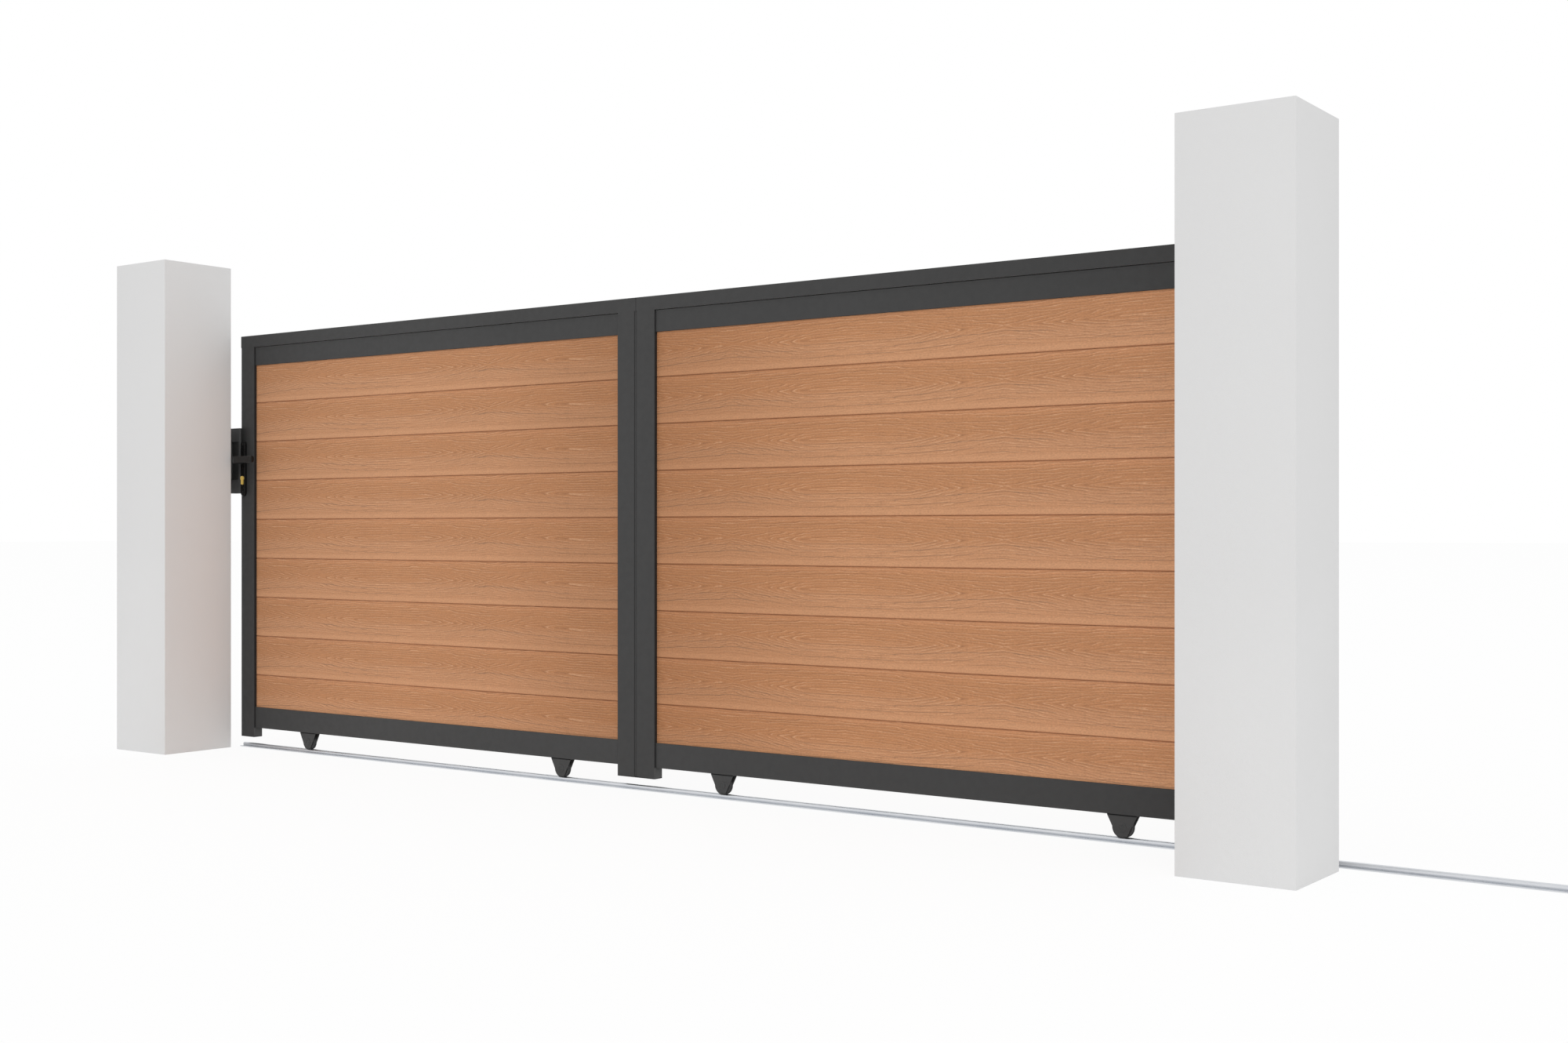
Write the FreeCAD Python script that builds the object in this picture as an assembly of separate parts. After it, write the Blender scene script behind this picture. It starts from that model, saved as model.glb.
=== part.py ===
import FreeCAD, Part
import math
import os

from FreeCAD import Vector

# Sliding driveway gate: two square pillars, a ground rail and a framed leaf that runs behind them.
# Millimetres. Origin: centre of the left pillar's foot. +X: opening direction, +Y: behind, +Z: up.

# Pillars and the passage between them
PILLAR_SIDE = 300.0
PILLAR_HEIGHT = 1850.0
PILLAR_ARRIS = 3.0
PASSAGE_WIDTH = 4000.0

# Place and length of the leaf
LEAF_START = 2.0
LEAF_SETBACK = 46.0
LEFT_BAY = 2002.0
LEAF_OVERLAP = 79.0

# Stiles
STILE_WIDTH = 79.0
STILE_DEPTH = 40.0
STILE_EDGE = 4.0
STILE_GROUND_GAP = 40.0
FOOT_CAP_THICKNESS = 3.0
JOINT_REBATE_WIDTH = 6.5
JOINT_REBATE_DEPTH = 2.0

# Rails and cap profile
RAIL_RECESS = 6.0
RAIL_EDGE = 1.5
BOTTOM_RAIL_LIFT = 36.0
BOTTOM_RAIL_HEIGHT = 80.0
TOP_RAIL_HEIGHT = 70.0
CAP_SHADOW_GAP = 1.5
CAP_HEIGHT = 44.0
CAP_EDGE = 1.0

# Infill boards, tongue and groove
BOARD_COUNT = 9
BOARD_PITCH = 150.0
BOARD_THICKNESS = 16.0
BOARD_GAP = 0.5
BOARD_CHAMFER = 2.0
BOARD_PLAY = 0.5
BOARD_END_SEAT = 10.0
BOARD_BOTTOM_SEAT = 25.5
BOARD_TOP_SEAT = 5.5
TONGUE_HEIGHT = 5.0
TONGUE_THICKNESS = 4.0
TONGUE_PLAY = 0.5

# Ground rail
TRACK_BASE_WIDTH = 46.0
TRACK_BASE_THICKNESS = 3.0
TRACK_BEAD_RADIUS = 8.0
TRACK_HEIGHT = 15.0
TRACK_FIRST_LENGTH = 4100.0

# Wheels, brackets and axles
ROLLING_RADIUS = 27.0
WHEEL_FLANGE_DEPTH = 3.0
WHEEL_WIDTH = 15.0
WHEEL_TRACK_GAP = 0.3
OUTER_WHEEL_INSET = 382.0
LEFT_INNER_WHEEL_OFFSET = 335.0
RIGHT_INNER_WHEEL_OFFSET = 343.0
AXLE_DIAMETER = 12.0
AXLE_FIT = 0.05
AXLE_PROUD = 1.0
AXLE_END_CHAMFER = 0.5
BRACKET_PLATE = 2.5
BRACKET_SIDE_GAP = 1.5
BRACKET_TOP_LENGTH = 88.0
BRACKET_FOOT_LENGTH = 29.0
BRACKET_FOOT_RISE = 1.5
BRACKET_FOOT_ROUND = 8.0
BRACKET_BEND = 4.0

# Lock set on the left end stile
LOCK_BACKSET = 21.0
LEVER_AXIS_HEIGHT = 1110.0
PLATE_WIDTH = 25.0
PLATE_HEIGHT = 212.0
PLATE_THICKNESS = 9.0
PLATE_EDGE = 1.5
PLATE_DROP = 33.0
NECK_DIAMETER = 18.0
NECK_FIT = 0.1
NECK_SHOW = 5.0
NECK_END_GAP = 0.5
LEVER_BAR_HEIGHT = 26.0
LEVER_BAR_DEPTH = 11.0
LEVER_PROJECTION = 59.0
LEVER_REACH = 116.0
LEVER_BEND = 14.0
LEVER_BACK_ROUND = 9.0
LEVER_EDGE = 1.0
LEVER_TRAVEL_MARGIN = 11.0
SPINDLE_SQUARE = 8.0
SPINDLE_SOCKET = 20.0
SPINDLE_FIT = 0.1
SPINDLE_HOLE = 14.0
CYLINDER_DROP = 70.0
CYLINDER_ROUND = 17.0
CYLINDER_WEB = 10.0
CYLINDER_TALL = 33.0
CYLINDER_PROUD = 5.0
CYLINDER_FIT = 0.3
KEYWAY_WIDTH = 2.0
KEYWAY_HEIGHT = 8.0
KEYWAY_DEPTH = 8.0
FACEPLATE_WIDTH = 24.0
FACEPLATE_HEIGHT = 230.0
FACEPLATE_THICKNESS = 3.0
FACEPLATE_SLOT_WIDTH = 10.0
FACEPLATE_SLOT_HEIGHT = 60.0
FACEPLATE_DROP = 35.0
HOOK_DROP = 1.0

# Latch keeper: a profile in line with the leaf, on an angle fixed to the back of the left pillar
KEEPER_GAP = 6.0
KEEPER_LENGTH = 79.0
KEEPER_HEIGHT = 253.0
KEEPER_EDGE = 3.0
KEEPER_RIM = 10.0
KEEPER_RECESS_LENGTH = 46.0
KEEPER_RECESS_HEIGHT = 148.0
KEEPER_RECESS_DEPTH = 12.0
KEEPER_SLOT_WIDTH = 10.0
KEEPER_SLOT_HEIGHT = 80.0
KEEPER_SLOT_DEPTH = 40.0
KEEPER_ANGLE_PLATE = 8.0
KEEPER_ANGLE_FLANGE = 70.0

# Upper guide on the back of the right pillar
GUIDE_INSET = 50.0
GUIDE_WIDTH = 70.0
GUIDE_PLATE = 6.0
GUIDE_FLANGE_HEIGHT = 110.0
GUIDE_TOP_GAP = 8.0
GUIDE_OVERHANG = 20.0
GUIDE_ROLLER_DIAMETER = 40.0
GUIDE_ROLLER_MARGIN = 4.0
GUIDE_ROLLER_GAP = 0.3
GUIDE_PIN_DIAMETER = 10.0
GUIDE_COLLAR_DIAMETER = 16.0
GUIDE_COLLAR_GAP = 0.5
GUIDE_PIN_HEAD = 3.0

# End stop at the far end of the ground rail
STOP_GAP = 5.0
STOP_BUFFER_LENGTH = 30.0
STOP_BUFFER_DIAMETER = 40.0
STOP_BUFFER_HEIGHT = 95.0
STOP_PLATE = 8.0
STOP_WIDTH = 90.0
STOP_HEIGHT = 130.0
STOP_BASE_LENGTH = 110.0

# Pillar faces that the other pieces are placed from
INNER_FACE = PILLAR_SIDE / 2
BACK_FACE = PILLAR_SIDE / 2
RIGHT_PILLAR_START = INNER_FACE + PASSAGE_WIDTH

# Leaf, along X and Y
LEAF_LEFT = INNER_FACE + LEAF_START
BAY_JOINT = LEAF_LEFT + LEFT_BAY
LEAF_RIGHT = RIGHT_PILLAR_START + LEAF_OVERLAP
LEAF_FRONT = BACK_FACE + LEAF_SETBACK
LEAF_BACK = LEAF_FRONT + STILE_DEPTH
LEAF_MID = LEAF_FRONT + STILE_DEPTH / 2

# Leaf, along Z
STILE_BOTTOM = STILE_GROUND_GAP + FOOT_CAP_THICKNESS
BOTTOM_RAIL_BOTTOM = STILE_GROUND_GAP + BOTTOM_RAIL_LIFT
BOTTOM_RAIL_TOP = BOTTOM_RAIL_BOTTOM + BOTTOM_RAIL_HEIGHT
BOARD_BASE = BOTTOM_RAIL_TOP - BOARD_BOTTOM_SEAT
BOARD_TOP = BOARD_BASE + BOARD_COUNT * BOARD_PITCH
TOP_RAIL_BOTTOM = BOARD_TOP - BOARD_TOP_SEAT
TOP_RAIL_TOP = TOP_RAIL_BOTTOM + TOP_RAIL_HEIGHT
CAP_BOTTOM = TOP_RAIL_TOP + CAP_SHADOW_GAP
LEAF_TOP = CAP_BOTTOM + CAP_HEIGHT
BOARD_GROOVE = BOARD_THICKNESS + 2 * BOARD_PLAY

# Lock set and travel
LOCK_X = LEAF_LEFT + LOCK_BACKSET
LEVER_END = LOCK_X + LEVER_REACH
LEVER_FRONT = LEAF_FRONT - LEVER_PROJECTION
TRAVEL = RIGHT_PILLAR_START - LEVER_TRAVEL_MARGIN - LEVER_END
CYLINDER_HEIGHT = LEVER_AXIS_HEIGHT - CYLINDER_DROP
PLATE_MIDDLE = LEVER_AXIS_HEIGHT - PLATE_DROP
HOOK_HEIGHT = LEVER_AXIS_HEIGHT - HOOK_DROP

# Wheels and rail
AXLE_HEIGHT = TRACK_HEIGHT + ROLLING_RADIUS
BRACKET_INNER_WIDTH = WHEEL_WIDTH + 2 * BRACKET_SIDE_GAP
BRACKET_OUTER_WIDTH = BRACKET_INNER_WIDTH + 2 * BRACKET_PLATE
BRACKET_FOOT = TRACK_HEIGHT + BRACKET_FOOT_RISE
WHEEL_PLACES = (
    LEAF_LEFT + OUTER_WHEEL_INSET,
    BAY_JOINT - LEFT_INNER_WHEEL_OFFSET,
    BAY_JOINT + RIGHT_INNER_WHEEL_OFFSET,
    LEAF_RIGHT - OUTER_WHEEL_INSET,
)
STOP_FACE = LEAF_RIGHT + TRAVEL + STOP_GAP
TRACK_END = STOP_FACE + STOP_BUFFER_LENGTH
TRACK_JOINT = INNER_FACE + TRACK_FIRST_LENGTH

ALONG_X = Vector(1, 0, 0)
ALONG_Y = Vector(0, 1, 0)
ALONG_Z = Vector(0, 0, 1)


def box(x0, x1, y0, y1, z0, z1):
    return Part.makeBox(x1 - x0, y1 - y0, z1 - z0, Vector(x0, y0, z0))


def rod_y(x, z, y0, y1, radius):
    return Part.makeCylinder(radius, y1 - y0, Vector(x, y0, z), ALONG_Y)


def rod_z(x, y, z0, z1, radius):
    return Part.makeCylinder(radius, z1 - z0, Vector(x, y, z0), ALONG_Z)


def joined(first, *others):
    return first.fuse(list(others)).removeSplitter()


def edges_along(solid, axis):
    """Straight edges of the solid that run along the given axis."""
    straight = [e for e in solid.Edges if e.Curve.TypeId == "Part::GeomLine"]
    return [e for e in straight if abs(e.tangentAt(e.FirstParameter).dot(axis)) > 0.999]


def outline_edges(solid, y):
    """Edges of the solid that lie wholly in the upright plane at y."""
    limits = [(e, e.BoundBox.YMin, e.BoundBox.YMax) for e in solid.Edges]
    return [e for e, low, high in limits if abs(low - y) < 0.001 and abs(high - y) < 0.001]


def mirrored_to_back(solid):
    """The same piece on the rear face of the leaf."""
    return solid.mirror(Vector(0, LEAF_MID, 0), ALONG_Y)


def extruded_x(points, x0, x1):
    """Prism along X from a closed outline of (y, z) points."""
    corners = [Vector(x0, y, z) for y, z in points]
    face = Part.Face(Part.makePolygon(corners + corners[:1]))
    return face.extrude(Vector(x1 - x0, 0, 0))


def pillar(x0):
    """Rendered masonry pillar with a narrow chamfer on every edge but its foot."""
    body = box(x0, x0 + PILLAR_SIDE, -PILLAR_SIDE / 2, PILLAR_SIDE / 2, 0, PILLAR_HEIGHT)
    arrises = [e for e in body.Edges if e.BoundBox.ZMax > PILLAR_HEIGHT / 2]
    return body.makeChamfer(PILLAR_ARRIS, arrises)


def track_length(x0, x1):
    """Flat-based rail with a round bead on which the grooved wheels run."""
    bead_height = TRACK_HEIGHT - TRACK_BEAD_RADIUS
    half_base = TRACK_BASE_WIDTH / 2
    half_foot = math.sqrt(TRACK_BEAD_RADIUS ** 2 - (TRACK_BASE_THICKNESS - bead_height) ** 2)

    def at(y, z):
        return Vector(x0, LEAF_MID + y, z)

    bead = Part.Arc(
        at(half_foot, TRACK_BASE_THICKNESS),
        at(0, TRACK_HEIGHT),
        at(-half_foot, TRACK_BASE_THICKNESS),
    )
    right_side = Part.makePolygon([
        at(-half_base, 0),
        at(half_base, 0),
        at(half_base, TRACK_BASE_THICKNESS),
        at(half_foot, TRACK_BASE_THICKNESS),
    ])
    left_side = Part.makePolygon([
        at(-half_foot, TRACK_BASE_THICKNESS),
        at(-half_base, TRACK_BASE_THICKNESS),
        at(-half_base, 0),
    ])
    outline = Part.Wire(right_side.Edges + [bead.toShape()] + left_side.Edges)
    return Part.Face(outline).extrude(Vector(x1 - x0, 0, 0))


def stile(x0, boards_on_right, joint_side=0):
    """Upright frame profile with a pocket for the board ends; joint_side is -1, 0 or 1 along X."""
    x1 = x0 + STILE_WIDTH
    body = box(x0, x1, LEAF_FRONT, LEAF_BACK, STILE_BOTTOM, CAP_BOTTOM)
    body = body.makeFillet(STILE_EDGE, edges_along(body, ALONG_Z))
    pocket_depth = BOARD_END_SEAT + BOARD_GAP
    pocket_left = x1 - pocket_depth if boards_on_right else x0
    body = body.cut(box(
        pocket_left,
        pocket_left + pocket_depth,
        LEAF_MID - BOARD_GROOVE / 2,
        LEAF_MID + BOARD_GROOVE / 2,
        BOARD_BASE,
        BOARD_TOP + TONGUE_HEIGHT + BOARD_GAP,
    ))
    if joint_side:
        rebate_left = x1 - JOINT_REBATE_WIDTH if joint_side > 0 else x0
        rebate_right = rebate_left + JOINT_REBATE_WIDTH
        front_floor = LEAF_FRONT + JOINT_REBATE_DEPTH
        back_floor = LEAF_BACK - JOINT_REBATE_DEPTH
        body = body.cut(box(rebate_left, rebate_right, LEAF_FRONT, front_floor, STILE_BOTTOM, CAP_BOTTOM))
        body = body.cut(box(rebate_left, rebate_right, back_floor, LEAF_BACK, STILE_BOTTOM, CAP_BOTTOM))
    return body


def left_end_stile():
    """End stile with the holes of the spindle, lock cylinder and faceplate."""
    body = stile(LEAF_LEFT, boards_on_right=True)
    body = body.cut(rod_y(LOCK_X, LEVER_AXIS_HEIGHT, LEAF_FRONT, LEAF_BACK, SPINDLE_HOLE / 2))
    body = body.cut(cylinder_bar(LEAF_FRONT, LEAF_BACK, CYLINDER_FIT))
    return body.cut(faceplate_block())


def foot_cap(x0, x1):
    """Plastic plate that closes the lower end of one stile, or of the centre pair."""
    body = box(x0, x1, LEAF_FRONT, LEAF_BACK, STILE_GROUND_GAP, STILE_BOTTOM)
    return body.makeFillet(STILE_EDGE, edges_along(body, ALONG_Z))


def cap_profile(x0, x1):
    """Top profile that closes the stiles of one bay, flush with their faces."""
    body = box(x0, x1, LEAF_FRONT, LEAF_BACK, CAP_BOTTOM, LEAF_TOP)
    top_edges = [e for e in edges_along(body, ALONG_X) if e.BoundBox.ZMin > LEAF_TOP - CAP_HEIGHT / 2]
    return body.makeFillet(CAP_EDGE, top_edges)


def cross_rail(x0, x1, z0, z1):
    """Rail between two stiles, set back from their faces."""
    body = box(x0, x1, LEAF_FRONT + RAIL_RECESS, LEAF_BACK - RAIL_RECESS, z0, z1)
    return body.makeFillet(RAIL_EDGE, edges_along(body, ALONG_X))


def board_groove(x0, x1, z0, z1):
    return box(x0, x1, LEAF_MID - BOARD_GROOVE / 2, LEAF_MID + BOARD_GROOVE / 2, z0, z1)


def bottom_rail(x0, x1):
    rail = cross_rail(x0, x1, BOTTOM_RAIL_BOTTOM, BOTTOM_RAIL_TOP)
    return rail.cut(board_groove(x0, x1, BOARD_BASE, BOTTOM_RAIL_TOP))


def top_rail(x0, x1):
    rail = cross_rail(x0, x1, TOP_RAIL_BOTTOM, TOP_RAIL_TOP)
    return rail.cut(board_groove(x0, x1, TOP_RAIL_BOTTOM, BOARD_TOP + TONGUE_HEIGHT + BOARD_GAP))


def board(x0, x1, z0):
    """One infill board: chamfered edges, a tongue on top and its groove underneath."""
    z1 = z0 + BOARD_PITCH - BOARD_GAP
    half = BOARD_THICKNESS / 2
    tongue = TONGUE_THICKNESS / 2
    groove = tongue + TONGUE_PLAY
    groove_top = z0 + TONGUE_HEIGHT
    outline = [
        (-half + BOARD_CHAMFER, z0),
        (-groove, z0),
        (-groove, groove_top),
        (groove, groove_top),
        (groove, z0),
        (half - BOARD_CHAMFER, z0),
        (half, z0 + BOARD_CHAMFER),
        (half, z1 - BOARD_CHAMFER),
        (half - BOARD_CHAMFER, z1),
        (tongue, z1),
        (tongue, z1 + TONGUE_HEIGHT - BOARD_GAP),
        (-tongue, z1 + TONGUE_HEIGHT - BOARD_GAP),
        (-tongue, z1),
        (-half + BOARD_CHAMFER, z1),
        (-half, z1 - BOARD_CHAMFER),
        (-half, z0 + BOARD_CHAMFER),
    ]
    return extruded_x([(LEAF_MID + y, z) for y, z in outline], x0, x1)


def boards(bay_left, bay_right):
    """The stack of boards of one bay, its ends inside the pockets of the two stiles."""
    x0 = bay_left + STILE_WIDTH - BOARD_END_SEAT
    x1 = bay_right - STILE_WIDTH + BOARD_END_SEAT
    return Part.makeCompound([board(x0, x1, BOARD_BASE + i * BOARD_PITCH) for i in range(BOARD_COUNT)])


def wheel_bracket(x):
    """Inverted channel with tapered cheeks, rounded at the corners of the foot."""
    half_top = BRACKET_TOP_LENGTH / 2
    half_foot = BRACKET_FOOT_LENGTH / 2
    y0 = LEAF_MID - BRACKET_OUTER_WIDTH / 2
    corners = [
        Vector(x - half_foot, y0, BRACKET_FOOT),
        Vector(x - half_top, y0, BOTTOM_RAIL_BOTTOM),
        Vector(x + half_top, y0, BOTTOM_RAIL_BOTTOM),
        Vector(x + half_foot, y0, BRACKET_FOOT),
    ]
    cheek = Part.Face(Part.makePolygon(corners + corners[:1]))
    body = cheek.extrude(Vector(0, BRACKET_OUTER_WIDTH, 0))
    foot_corners = [e for e in edges_along(body, ALONG_Y) if e.BoundBox.ZMax < AXLE_HEIGHT]
    body = body.makeFillet(BRACKET_FOOT_ROUND, foot_corners)
    bends = [e for e in edges_along(body, ALONG_X) if e.BoundBox.ZMin > AXLE_HEIGHT]
    body = body.makeFillet(BRACKET_BEND, bends)
    channel = box(
        x - half_top,
        x + half_top,
        LEAF_MID - BRACKET_INNER_WIDTH / 2,
        LEAF_MID + BRACKET_INNER_WIDTH / 2,
        BRACKET_FOOT,
        BOTTOM_RAIL_BOTTOM - BRACKET_PLATE,
    )
    body = body.cut(channel)
    hole_radius = AXLE_DIAMETER / 2 + AXLE_FIT
    return body.cut(rod_y(x, AXLE_HEIGHT, y0, y0 + BRACKET_OUTER_WIDTH, hole_radius))


def wheel_axle(x):
    """Pin through both cheeks of a bracket, a little proud of them."""
    y0 = LEAF_MID - BRACKET_OUTER_WIDTH / 2 - AXLE_PROUD
    y1 = LEAF_MID + BRACKET_OUTER_WIDTH / 2 + AXLE_PROUD
    pin = rod_y(x, AXLE_HEIGHT, y0, y1, AXLE_DIAMETER / 2)
    return pin.makeChamfer(AXLE_END_CHAMFER, outline_edges(pin, y0) + outline_edges(pin, y1))


def wheel(x):
    """Grooved wheel, turned about its axle line."""
    groove_radius = TRACK_BEAD_RADIUS + WHEEL_TRACK_GAP
    floor = ROLLING_RADIUS - WHEEL_TRACK_GAP
    rim = floor + WHEEL_FLANGE_DEPTH
    half = WHEEL_WIDTH / 2
    lip = math.sqrt(groove_radius ** 2 - (groove_radius - WHEEL_FLANGE_DEPTH) ** 2)
    bore = AXLE_DIAMETER / 2 + AXLE_FIT

    def at(y, radius):
        return Vector(x, LEAF_MID + y, AXLE_HEIGHT - radius)

    groove = Part.Arc(at(lip, rim), at(0, floor), at(-lip, rim))
    sides = Part.makePolygon([
        at(-lip, rim),
        at(-half, rim),
        at(-half, bore),
        at(half, bore),
        at(half, rim),
        at(lip, rim),
    ])
    section = Part.Face(Part.Wire(sides.Edges + [groove.toShape()]))
    return section.revolve(Vector(x, 0, AXLE_HEIGHT), ALONG_Y, 360)


def cylinder_bar(y0, y1, grow):
    """Pear-shaped bar of a profile lock cylinder, widened all round by grow."""
    web = CYLINDER_WEB / 2
    low = CYLINDER_HEIGHT - CYLINDER_TALL + CYLINDER_ROUND / 2 + web
    barrel = rod_y(LOCK_X, CYLINDER_HEIGHT, y0, y1, CYLINDER_ROUND / 2 + grow)
    leg = box(LOCK_X - web - grow, LOCK_X + web + grow, y0, y1, low, CYLINDER_HEIGHT)
    toe = rod_y(LOCK_X, low, y0, y1, web + grow)
    return joined(barrel, leg, toe)


def lock_cylinder():
    y0 = LEAF_FRONT - PLATE_THICKNESS - CYLINDER_PROUD
    y1 = LEAF_BACK + PLATE_THICKNESS + CYLINDER_PROUD
    keyway = box(
        LOCK_X - KEYWAY_WIDTH / 2,
        LOCK_X + KEYWAY_WIDTH / 2,
        y0,
        y0 + KEYWAY_DEPTH,
        CYLINDER_HEIGHT - KEYWAY_HEIGHT / 2,
        CYLINDER_HEIGHT + KEYWAY_HEIGHT / 2,
    )
    return cylinder_bar(y0, y1, 0).cut(keyway).cut(mirrored_to_back(keyway))


def lock_plate():
    """Front backplate, round at both ends, with the holes of the lever neck and the cylinder."""
    y0 = LEAF_FRONT - PLATE_THICKNESS
    radius = PLATE_WIDTH / 2
    low = PLATE_MIDDLE - PLATE_HEIGHT / 2 + radius
    high = PLATE_MIDDLE + PLATE_HEIGHT / 2 - radius
    body = box(LOCK_X - radius, LOCK_X + radius, y0, LEAF_FRONT, low, high)
    ends = [rod_y(LOCK_X, z, y0, LEAF_FRONT, radius) for z in (low, high)]
    body = joined(body, *ends)
    body = body.makeFillet(PLATE_EDGE, outline_edges(body, y0))
    body = body.cut(rod_y(LOCK_X, LEVER_AXIS_HEIGHT, y0, LEAF_FRONT, NECK_DIAMETER / 2 + NECK_FIT))
    return body.cut(cylinder_bar(y0, LEAF_FRONT, CYLINDER_FIT))


def lever_grip(x0):
    """Straight part of the lever bar: flat in front, rounded behind."""
    back = LEVER_FRONT + LEVER_BAR_DEPTH
    half = LEVER_BAR_HEIGHT / 2
    grip = box(x0, LEVER_END, LEVER_FRONT, back, LEVER_AXIS_HEIGHT - half, LEVER_AXIS_HEIGHT + half)
    middle = LEVER_FRONT + LEVER_BAR_DEPTH / 2
    back_edges = [e for e in edges_along(grip, ALONG_X) if e.BoundBox.YMin > middle]
    grip = grip.makeFillet(LEVER_BACK_ROUND, back_edges)
    front_edges = [e for e in edges_along(grip, ALONG_X) if e.BoundBox.YMax < LEVER_FRONT + LEVER_EDGE]
    return grip.makeFillet(LEVER_EDGE, front_edges)


def lever():
    """Front lever: a bar bent through a right angle, with a round neck in the backplate."""
    bend_x = LOCK_X - LEVER_BAR_DEPTH / 2 + LEVER_BEND
    bend_y = LEVER_FRONT + LEVER_BEND
    pivot = Vector(bend_x, bend_y, 0)
    grip = lever_grip(bend_x)
    section = [f for f in grip.Faces if f.BoundBox.XMax < bend_x + LEVER_EDGE][0]
    bend = section.revolve(pivot, ALONG_Z, -90)
    shank_end = LEAF_FRONT - PLATE_THICKNESS - NECK_SHOW
    shank = section.rotated(pivot, ALONG_Z, -90).extrude(Vector(0, shank_end - bend_y, 0))
    neck_end = LEAF_FRONT - NECK_END_GAP
    neck = rod_y(LOCK_X, LEVER_AXIS_HEIGHT, shank_end, neck_end, NECK_DIAMETER / 2)
    socket = spindle_bar(neck_end - SPINDLE_SOCKET, neck_end, SPINDLE_FIT)
    return joined(grip, bend, shank, neck).cut(socket)


def spindle_bar(y0, y1, grow):
    half = SPINDLE_SQUARE / 2 + grow
    return box(LOCK_X - half, LOCK_X + half, y0, y1, LEVER_AXIS_HEIGHT - half, LEVER_AXIS_HEIGHT + half)


def lever_spindle():
    inset = NECK_END_GAP + SPINDLE_SOCKET - SPINDLE_FIT
    return spindle_bar(LEAF_FRONT - inset, LEAF_BACK + inset, 0)


def faceplate_block():
    middle = LEVER_AXIS_HEIGHT - FACEPLATE_DROP
    return box(
        LEAF_LEFT,
        LEAF_LEFT + FACEPLATE_THICKNESS,
        LEAF_MID - FACEPLATE_WIDTH / 2,
        LEAF_MID + FACEPLATE_WIDTH / 2,
        middle - FACEPLATE_HEIGHT / 2,
        middle + FACEPLATE_HEIGHT / 2,
    )


def lock_faceplate():
    """Flush plate on the leading edge of the leaf, with the slot of the hook bolt."""
    slot = box(
        LEAF_LEFT,
        LEAF_LEFT + FACEPLATE_THICKNESS,
        LEAF_MID - FACEPLATE_SLOT_WIDTH / 2,
        LEAF_MID + FACEPLATE_SLOT_WIDTH / 2,
        HOOK_HEIGHT - FACEPLATE_SLOT_HEIGHT / 2,
        HOOK_HEIGHT + FACEPLATE_SLOT_HEIGHT / 2,
    )
    return faceplate_block().cut(slot)


def keeper_profile():
    """Keeper as thick as the leaf: a recess in each side and the slot of the hook bolt towards the leaf."""
    face = LEAF_LEFT - KEEPER_GAP
    low = HOOK_HEIGHT - KEEPER_HEIGHT / 2
    body = box(face - KEEPER_LENGTH, face, LEAF_FRONT, LEAF_BACK, low, low + KEEPER_HEIGHT)
    leaf_side = [e for e in edges_along(body, ALONG_Z) if e.BoundBox.XMin > face - KEEPER_EDGE]
    body = body.makeFillet(KEEPER_EDGE, leaf_side)
    recess = box(
        face - KEEPER_RIM - KEEPER_RECESS_LENGTH,
        face - KEEPER_RIM,
        LEAF_FRONT,
        LEAF_FRONT + KEEPER_RECESS_DEPTH,
        HOOK_HEIGHT - KEEPER_RECESS_HEIGHT / 2,
        HOOK_HEIGHT + KEEPER_RECESS_HEIGHT / 2,
    )
    slot = box(
        face - KEEPER_SLOT_DEPTH,
        face,
        LEAF_MID - KEEPER_SLOT_WIDTH / 2,
        LEAF_MID + KEEPER_SLOT_WIDTH / 2,
        HOOK_HEIGHT - KEEPER_SLOT_HEIGHT / 2,
        HOOK_HEIGHT + KEEPER_SLOT_HEIGHT / 2,
    )
    return body.cut(recess).cut(mirrored_to_back(recess)).cut(slot)


def latch_keeper():
    """Keeper on its angle, whose flange lies against the back of the left pillar."""
    x0 = LEAF_LEFT - KEEPER_GAP - KEEPER_LENGTH
    x1 = x0 + KEEPER_ANGLE_PLATE
    low = HOOK_HEIGHT - KEEPER_HEIGHT / 2
    high = low + KEEPER_HEIGHT
    web = box(x0, x1, BACK_FACE, LEAF_FRONT, low, high)
    flange = box(x1 - KEEPER_ANGLE_FLANGE, x1, BACK_FACE, BACK_FACE + KEEPER_ANGLE_PLATE, low, high)
    return joined(keeper_profile(), web, flange)


def guide_place():
    """Plan position of the two guide rollers: x, front y and rear y."""
    x = RIGHT_PILLAR_START + GUIDE_INSET
    stand = GUIDE_ROLLER_DIAMETER / 2 + GUIDE_ROLLER_GAP
    return x, LEAF_FRONT - stand, LEAF_BACK + stand


def guide_bracket():
    """Angle plate over the leaf with the two roller pins under it."""
    x, front_y, rear_y = guide_place()
    x0 = x - GUIDE_WIDTH / 2
    x1 = x + GUIDE_WIDTH / 2
    under = LEAF_TOP + GUIDE_TOP_GAP
    reach = rear_y + GUIDE_ROLLER_DIAMETER / 2 + GUIDE_OVERHANG
    flange = box(x0, x1, BACK_FACE, BACK_FACE + GUIDE_PLATE, under, under + GUIDE_FLANGE_HEIGHT)
    shelf = box(x0, x1, BACK_FACE, reach, under, under + GUIDE_PLATE)
    pieces = [shelf]
    roller_top = LEAF_TOP - GUIDE_ROLLER_MARGIN
    roller_bottom = CAP_BOTTOM + GUIDE_ROLLER_MARGIN
    for y in (front_y, rear_y):
        pieces.append(rod_z(x, y, roller_top + GUIDE_COLLAR_GAP, under, GUIDE_COLLAR_DIAMETER / 2))
        pieces.append(rod_z(x, y, roller_bottom - GUIDE_COLLAR_GAP, under, GUIDE_PIN_DIAMETER / 2))
        head_top = roller_bottom - GUIDE_COLLAR_GAP
        pieces.append(rod_z(x, y, head_top - GUIDE_PIN_HEAD, head_top, GUIDE_COLLAR_DIAMETER / 2))
    return joined(flange, *pieces)


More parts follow.
